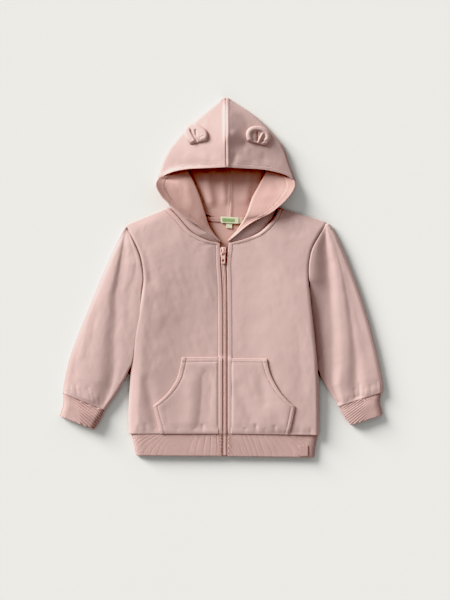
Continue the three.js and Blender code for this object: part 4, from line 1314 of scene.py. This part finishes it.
# Along one loop of the coil: distance from the centre line to its own side, height, radius
TOOTH = [
    [2.7, -1.2, 0.42],
    [2.3, -0.5, 0.47],
    [0.9, -0.1, 0.47],
    [-0.5, -0.25, 0.5],
    [-0.9, -0.7, 0.5],
    [-0.5, -1.0, 0.42],
]
TAPE_ROWS = 160
CORD_ROWS = 120


def zip_lift(y):
    """The zip comes up with the plackets, where the pockets lie under them."""
    return 0.4 + 1.7 * smooth((POCKET_TOP_Y + 4 - y) / 8) * smooth((y - HEM_SEAM_Y + 6) / 8)


def zip_x(y):
    return mix(ZIP_X, SLIDER_X, smooth((y + 20) / 55))


def zip_tape(side):
    """One of the two tapes, which rise to the row of teeth between them."""
    out = OUTWARD[side]
    y = np.linspace(SLIDER_TOP_Y, HEM_BOTTOM_Y, TAPE_ROWS)[:, None]
    off, height = np.array(TAPE_SECTION)[::out].T
    x = zip_x(y) + out * off[None, :]
    z = height[None, :] + zip_lift(y) * smooth((7 - off[None, :]) / 4)
    piece = shell(f"zip_tape_{side}_cloth", np.dstack([x, y + 0 * x, z]), TAPE, tape_cloth)
    finish_piece(piece, "tape", f"zip_tape_{side}")


def sweep(path, radius, sides=6):
    """Points and faces of a closed tube along a path of points."""
    path = np.asarray(path, float)
    way = unit(np.gradient(path, axis=0))
    helper = np.array([0, 0, 1.0]) if abs(way[:, 2]).max() < 0.9 else np.array([0, 1.0, 0.02])
    across = unit(np.cross(way, helper))
    up = unit(np.cross(across, way))
    angles = (np.arange(sides) * 2 * np.pi / sides)[None, :, None]
    ring = across[:, None] * np.cos(angles) + up[:, None] * np.sin(angles)
    radii = np.broadcast_to(np.asarray(radius, float), (len(path),))
    points = (path[:, None] + ring * radii[:, None, None]).reshape(-1, 3)
    faces = []
    for i in range(0, (len(path) - 1) * sides, sides):
        for j in range(sides):
            k = (j + 1) % sides
            faces.append([i + j, i + k, i + sides + k, i + sides + j])
    faces.append(list(range(sides))[::-1])
    faces.append([(len(path) - 1) * sides + j for j in range(sides)])
    return points, faces


def joined(name, parts, material):
    """One mesh object from several lists of points and faces."""
    points, faces, start = [], [], 0
    for part_points, part_faces in parts:
        points.append(part_points)
        faces += [[start + i for i in face] for face in part_faces]
        start += len(part_points)
    return add_mesh(name, np.concatenate(points), faces, [material])


def chain_height(y):
    """Height of the chain's crest, which comes up with the tapes below the slider."""
    return CHAIN_TOP + zip_lift(y) * smooth((SLIDER_BOTTOM_Y - 4 - y) / 12)


def zip_chain():
    """Two interlocked rows of coil teeth, each a loop that leans into the other side, and the
    two cords along them."""
    parts = []
    radii = [row[2] for row in TOOTH]
    y = SLIDER_BOTTOM_Y + 4
    side = 1
    while y > HEM_BOTTOM_Y + 1.5:
        centre, top = zip_x(y), chain_height(y) - 0.45
        path = [[centre + side * off, y + 0.05 * side, top + drop] for off, drop, _ in TOOTH]
        parts.append(sweep(path, radii))
        y -= TOOTH_PITCH / 2
        side = -side
    line = np.linspace(SLIDER_BOTTOM_Y + 3, HEM_BOTTOM_Y + 0.8, CORD_ROWS)
    for edge in (-1, 1):
        path = np.column_stack([zip_x(line) + edge * 2.1, line, chain_height(line) - 0.42])
        parts.append(sweep(path, 0.36))
    finish_piece(joined("zip_chain_teeth", parts, coil_plastic), "zip_plastic", "zip_chain")


def rounded_outline(half, bottom, top, corner, steps=6, waist=0.0):
    """A rounded rectangle that may be drawn in at the middle."""
    points = []
    right, upper, lower = half - corner, top - corner, bottom + corner
    corners = ((right, lower, -90), (right, upper, 0), (-right, upper, 90), (-right, lower, 180))
    for cx, cy, start in corners:
        for i in range(steps + 1):
            angle = math.radians(start + 90 * i / steps)
            px, py = cx + corner * math.cos(angle), cy + corner * math.sin(angle)
            share = 1 - abs(2 * (py - bottom) / (top - bottom) - 1)
            points.append((px * (1 - waist * share), py))
    return points


def plate(outline, low, high, bevel, holes=()):
    """The mesh of a flat plate of the slider, with holes and softened edges."""
    curve = bpy.data.curves.new("plate", "CURVE")
    curve.dimensions = "2D"
    curve.fill_mode = "BOTH"
    for line in (outline, *holes):
        spline = curve.splines.new("POLY")
        spline.points.add(len(line) - 1)
        for point, (px, py) in zip(spline.points, line):
            point.co = ((px + SLIDER_X) * MM, py * MM, 0, 1)
        spline.use_cyclic_u = True
    curve.extrude = (high - low) / 2 * MM - bevel * MM
    curve.bevel_depth = bevel * MM
    curve.bevel_resolution = 3
    curve.offset = -bevel * MM
    holder = linked("plate_curve", curve)
    bpy.context.view_layer.update()
    flat = holder.evaluated_get(bpy.context.evaluated_depsgraph_get())
    mesh = bpy.data.meshes.new_from_object(flat)
    bpy.data.objects.remove(holder)
    bpy.data.curves.remove(curve)
    mesh.transform(Matrix.Translation((0, 0, (low + high) / 2 * MM)))
    return mesh


def tube(path, radius, sides):
    """The mesh of a closed tube along a path."""
    points, faces = sweep(path, radius, sides)
    mesh = bpy.data.meshes.new("tube")
    mesh.from_pydata((points * MM).tolist(), [], faces)
    return mesh


def merged(name, meshes, node, body=GARMENT):
    """One painted piece of the zip from several meshes."""
    build = bmesh.new()
    for mesh in meshes:
        build.from_mesh(mesh)
        bpy.data.meshes.remove(mesh)
    bmesh.ops.remove_doubles(build, verts=build.verts, dist=1e-6)
    mesh = bpy.data.meshes.new(name)
    build.to_mesh(mesh)
    build.free()
    mesh.materials.append(slider_paint)
    mesh.polygons.foreach_set("use_smooth", np.full(len(mesh.polygons), True))
    finish_piece(linked(name, mesh), "zip_plastic", node, body=body)


def slider():
    """Body with a waist, side flanges round the chain, and the bridge that carries the pull."""
    parts = [
        plate(rounded_outline(4.5, SLIDER_BOTTOM_Y, SLIDER_TOP_Y, 2.6, waist=0.12), 7.9, 9.0, 0.4),
        plate(rounded_outline(2.0, 34, 48, 1.4), 8.7, 9.3, 0.25),
    ]
    for side in (-1, 1):
        rail = [[SLIDER_X + side * 3.7, y, 9.0] for y in np.linspace(35, 46, 8)]
        parts.append(tube(rail, 0.9, 10))
    y = np.linspace(36.6, 47, 17)
    arch = np.sin(np.pi * ((y - y[0]) / (y[-1] - y[0])))
    bridge = np.column_stack([np.full(17, SLIDER_X), y, 9.0 + 3.6 * arch ** 0.42])
    parts.append(tube(bridge, 0.62 + 0.15 * arch, 12))
    merged("zip_slider_body", parts, "zip_slider")


def pull_tab():
    """A waisted tab with a square eye on the bridge and a window in its grip."""
    eye = [(-1.8, 35.0), (-1.8, 39.2), (1.8, 39.2), (1.8, 35.0)]
    window = rounded_outline(1.7, 25.0, 29.0, 0.7, 4)
    outline = rounded_outline(3.6, 21.8, 40.8, 2.4, waist=0.22)
    tab = plate(outline, 9.6, 11.0, 0.35, [eye, window])
    merged("zip_pull_tab", [tab], "zip_pull", "pull_tab")


for side in OUTWARD:
    zip_tape(side)
zip_chain()
slider()
pull_tab()

# ---- Stitching ----

STITCH_LENGTH = 2.3
STITCH_PITCH = 3.0
STITCH_RADIUS = 0.32
STITCH_END = 0.2      # radius where the thread goes into the cloth
# Along a stitch: share of its length, height above the cloth in radii
STITCH_ARCH = ((0, -0.35), (0.3, 0.55), (0.7, 0.55), (1, -0.35))


def stitch_row(line, top, sink=0.1):
    """Stitches along a plan line, each one resting on what top finds there."""
    line = np.asarray(line, float)
    run = np.concatenate([[0], np.cumsum(np.hypot(*np.diff(line, axis=0).T))])
    parts = []
    for start in np.arange(0.3, run[-1] - STITCH_LENGTH, STITCH_PITCH):
        places = []
        for share, height in STITCH_ARCH:
            at = start + share * STITCH_LENGTH
            x, y = (np.interp(at, run, line[:, i]) for i in (0, 1))
            place, normal = top(x, y)
            if place is None:
                break
            places.append(place + normal * (STITCH_RADIUS * height - sink))
        if len(places) == len(STITCH_ARCH):
            parts.append(sweep(places, [STITCH_END, STITCH_RADIUS, STITCH_RADIUS, STITCH_END]))
    return parts


def moved_in(start, end, inset):
    return start + (end - start) * inset / np.hypot(*(end - start))


def panel_line(table, corner, rows, inset, from_inner=False):
    """A line that keeps its distance from one edge of a panel."""
    points = []
    for t in rows:
        row = row_at(table, t, corner)[0]
        ends = (row[2:4], row[0:2]) if from_inner else (row[0:2], row[2:4])
        points.append(moved_in(*ends, inset))
    return points


def turnout_line(table, rows, inset):
    rows = [row_at(table, t)[0] for t in rows]
    return [moved_in(row[6:8], row[3:5], inset) for row in rows]


def stitches():
    """All the topstitching, as one piece. Rows are places along the tables of sections."""
    parts = []
    at_neck, beside_zip = np.linspace(0.4, 3.9, 60), np.linspace(4.15, 12, 120)
    for side in OUTWARD:
        table, top = FRONTS[side][0], height_over(f"front_{side}_cloth")
        for rows, inset in ((beside_zip, PLACKET), (at_neck, NECK_STITCH)):
            parts += stitch_row(panel_line(table, FRONT_CORNER_ROW, rows, inset, True), top)
    opening, below = np.linspace(0.05, 5.97, 90), np.linspace(6.05, 7.9, 40)
    for side in OUTWARD:
        table, top = POCKETS[side][0], height_over(f"pocket_{side}_cloth")
        for rows, width in ((opening, POCKET_HEM), (below, POCKET_SIDE)):
            for inset in (POCKET_EDGE, width):
                parts += stitch_row(panel_line(table, POCKET_CORNER_ROW, rows, inset), top)
        corners = np.array(table[0], float).reshape(2, 2)
        for drop in POCKET_TOP_LINES:
            parts += stitch_row(corners + [0, -drop], top)
    for side in OUTWARD:
        top = height_over(f"hood_turnout_{side}_cloth")
        for inset in (FACING, FACING - FACING_PAIR):
            line = turnout_line(TURNOUTS[side][0], np.linspace(2.2, 8.2, 90), inset)
            parts += stitch_row(line, top)
    crown = height_over("hood_left_cloth", "hood_right_cloth")
    for side in OUTWARD:
        rows = [row_at(HOODS[side][0], t, CROWN_CORNER_ROW)[0] for t in np.linspace(5.1, 9.2, 60)]
        parts += stitch_row([row[2:4] + [0, MOUTH_HEM] for row in rows], crown, 0.25)
    neck = [[-40, 96.4], [-15, 93.8], [9, 93.0], [30, 94], [50, 96.6]]
    parts += stitch_row(neck, height_over("neck_tape_cloth"))
    finish_piece(joined("topstitching", parts, thread), "fleece")


stitches()

# ---- Surface, light and camera ----

SURFACE_HALF = 3.0
KEY_ELEVATION = 20.5
KEY_AZIMUTH = (-0.78, 0.62)
KEY_STRENGTH = 5.02
KEY_SPREAD = 28
ROOM_STRENGTH = 0.525
CAMERA_CENTRE = (0.0058, -0.036)
VIEW_HEIGHT = 0.96
LENS = 100
BLACK_LEVEL = 0.12
SHOULDER = (0.84, 0.90)   # where highlights start to be held back, and where they end


def surface():
    half = SURFACE_HALF
    corners = [(-half, -half, 0), (half, -half, 0), (half, half, 0), (-half, half, 0)]
    mesh = bpy.data.meshes.new("surface")
    mesh.from_pydata(corners, [], [(0, 1, 2, 3)])
    m = Nodes("pale_surface", 0.9, Specular_IOR_Level=0.1)
    m.tint(SURFACE_GREY, m.noise(m.place(), 3, 2.0, 0.5), 0.995, 1.005)
    mesh.materials.append(m.material)
    linked("surface", mesh)


def lights():
    """A wide soft key from the upper left, and an even room."""
    sun = bpy.data.lights.new("key", "SUN")
    sun.energy = KEY_STRENGTH
    sun.angle = math.radians(KEY_SPREAD)
    sun.color = (1.0, 0.995, 0.985)
    lamp = linked("key", sun)
    elevation = math.radians(KEY_ELEVATION)
    flat = Vector((*KEY_AZIMUTH, 0)).normalized() * math.cos(elevation)
    way = Vector((flat.x, flat.y, math.sin(elevation)))
    lamp.rotation_euler = way.to_track_quat("Z", "Y").to_euler()
    world = bpy.data.worlds.new("room")
    bpy.context.scene.world = world
    world.use_nodes = True
    room = world.node_tree.nodes["Background"].inputs
    room["Color"].default_value = (0.97, 0.99, 1.0, 1)
    room["Strength"].default_value = ROOM_STRENGTH


def camera():
    """Straight above, as in the photo."""
    data = bpy.data.cameras.new("camera")
    data.lens = LENS
    data.sensor_width = 36
    data.clip_start, data.clip_end = 0.05, 20
    cam = linked("camera", data)
    distance = VIEW_HEIGHT / 2 * LENS / (data.sensor_width / 2)
    cam.location = (*CAMERA_CENTRE, distance + 0.008)
    bpy.context.scene.camera = cam


def grade():
    """A plain print. A black level above 0 deepens the shadows and their colour, and the curve
    holds back the whites."""
    view = bpy.context.scene.view_settings
    view.view_transform = "Standard"
    view.use_curve_mapping = True
    view.curve_mapping.black_level = (BLACK_LEVEL, BLACK_LEVEL, BLACK_LEVEL)
    view.curve_mapping.extend = "HORIZONTAL"
    combined = view.curve_mapping.curves[3]
    combined.points[-1].location = (1, SHOULDER[1])
    combined.points.new(SHOULDER[0], SHOULDER[0])
    for point in combined.points:
        point.handle_type = "VECTOR"
    view.curve_mapping.update()


surface()
lights()
camera()
grade()
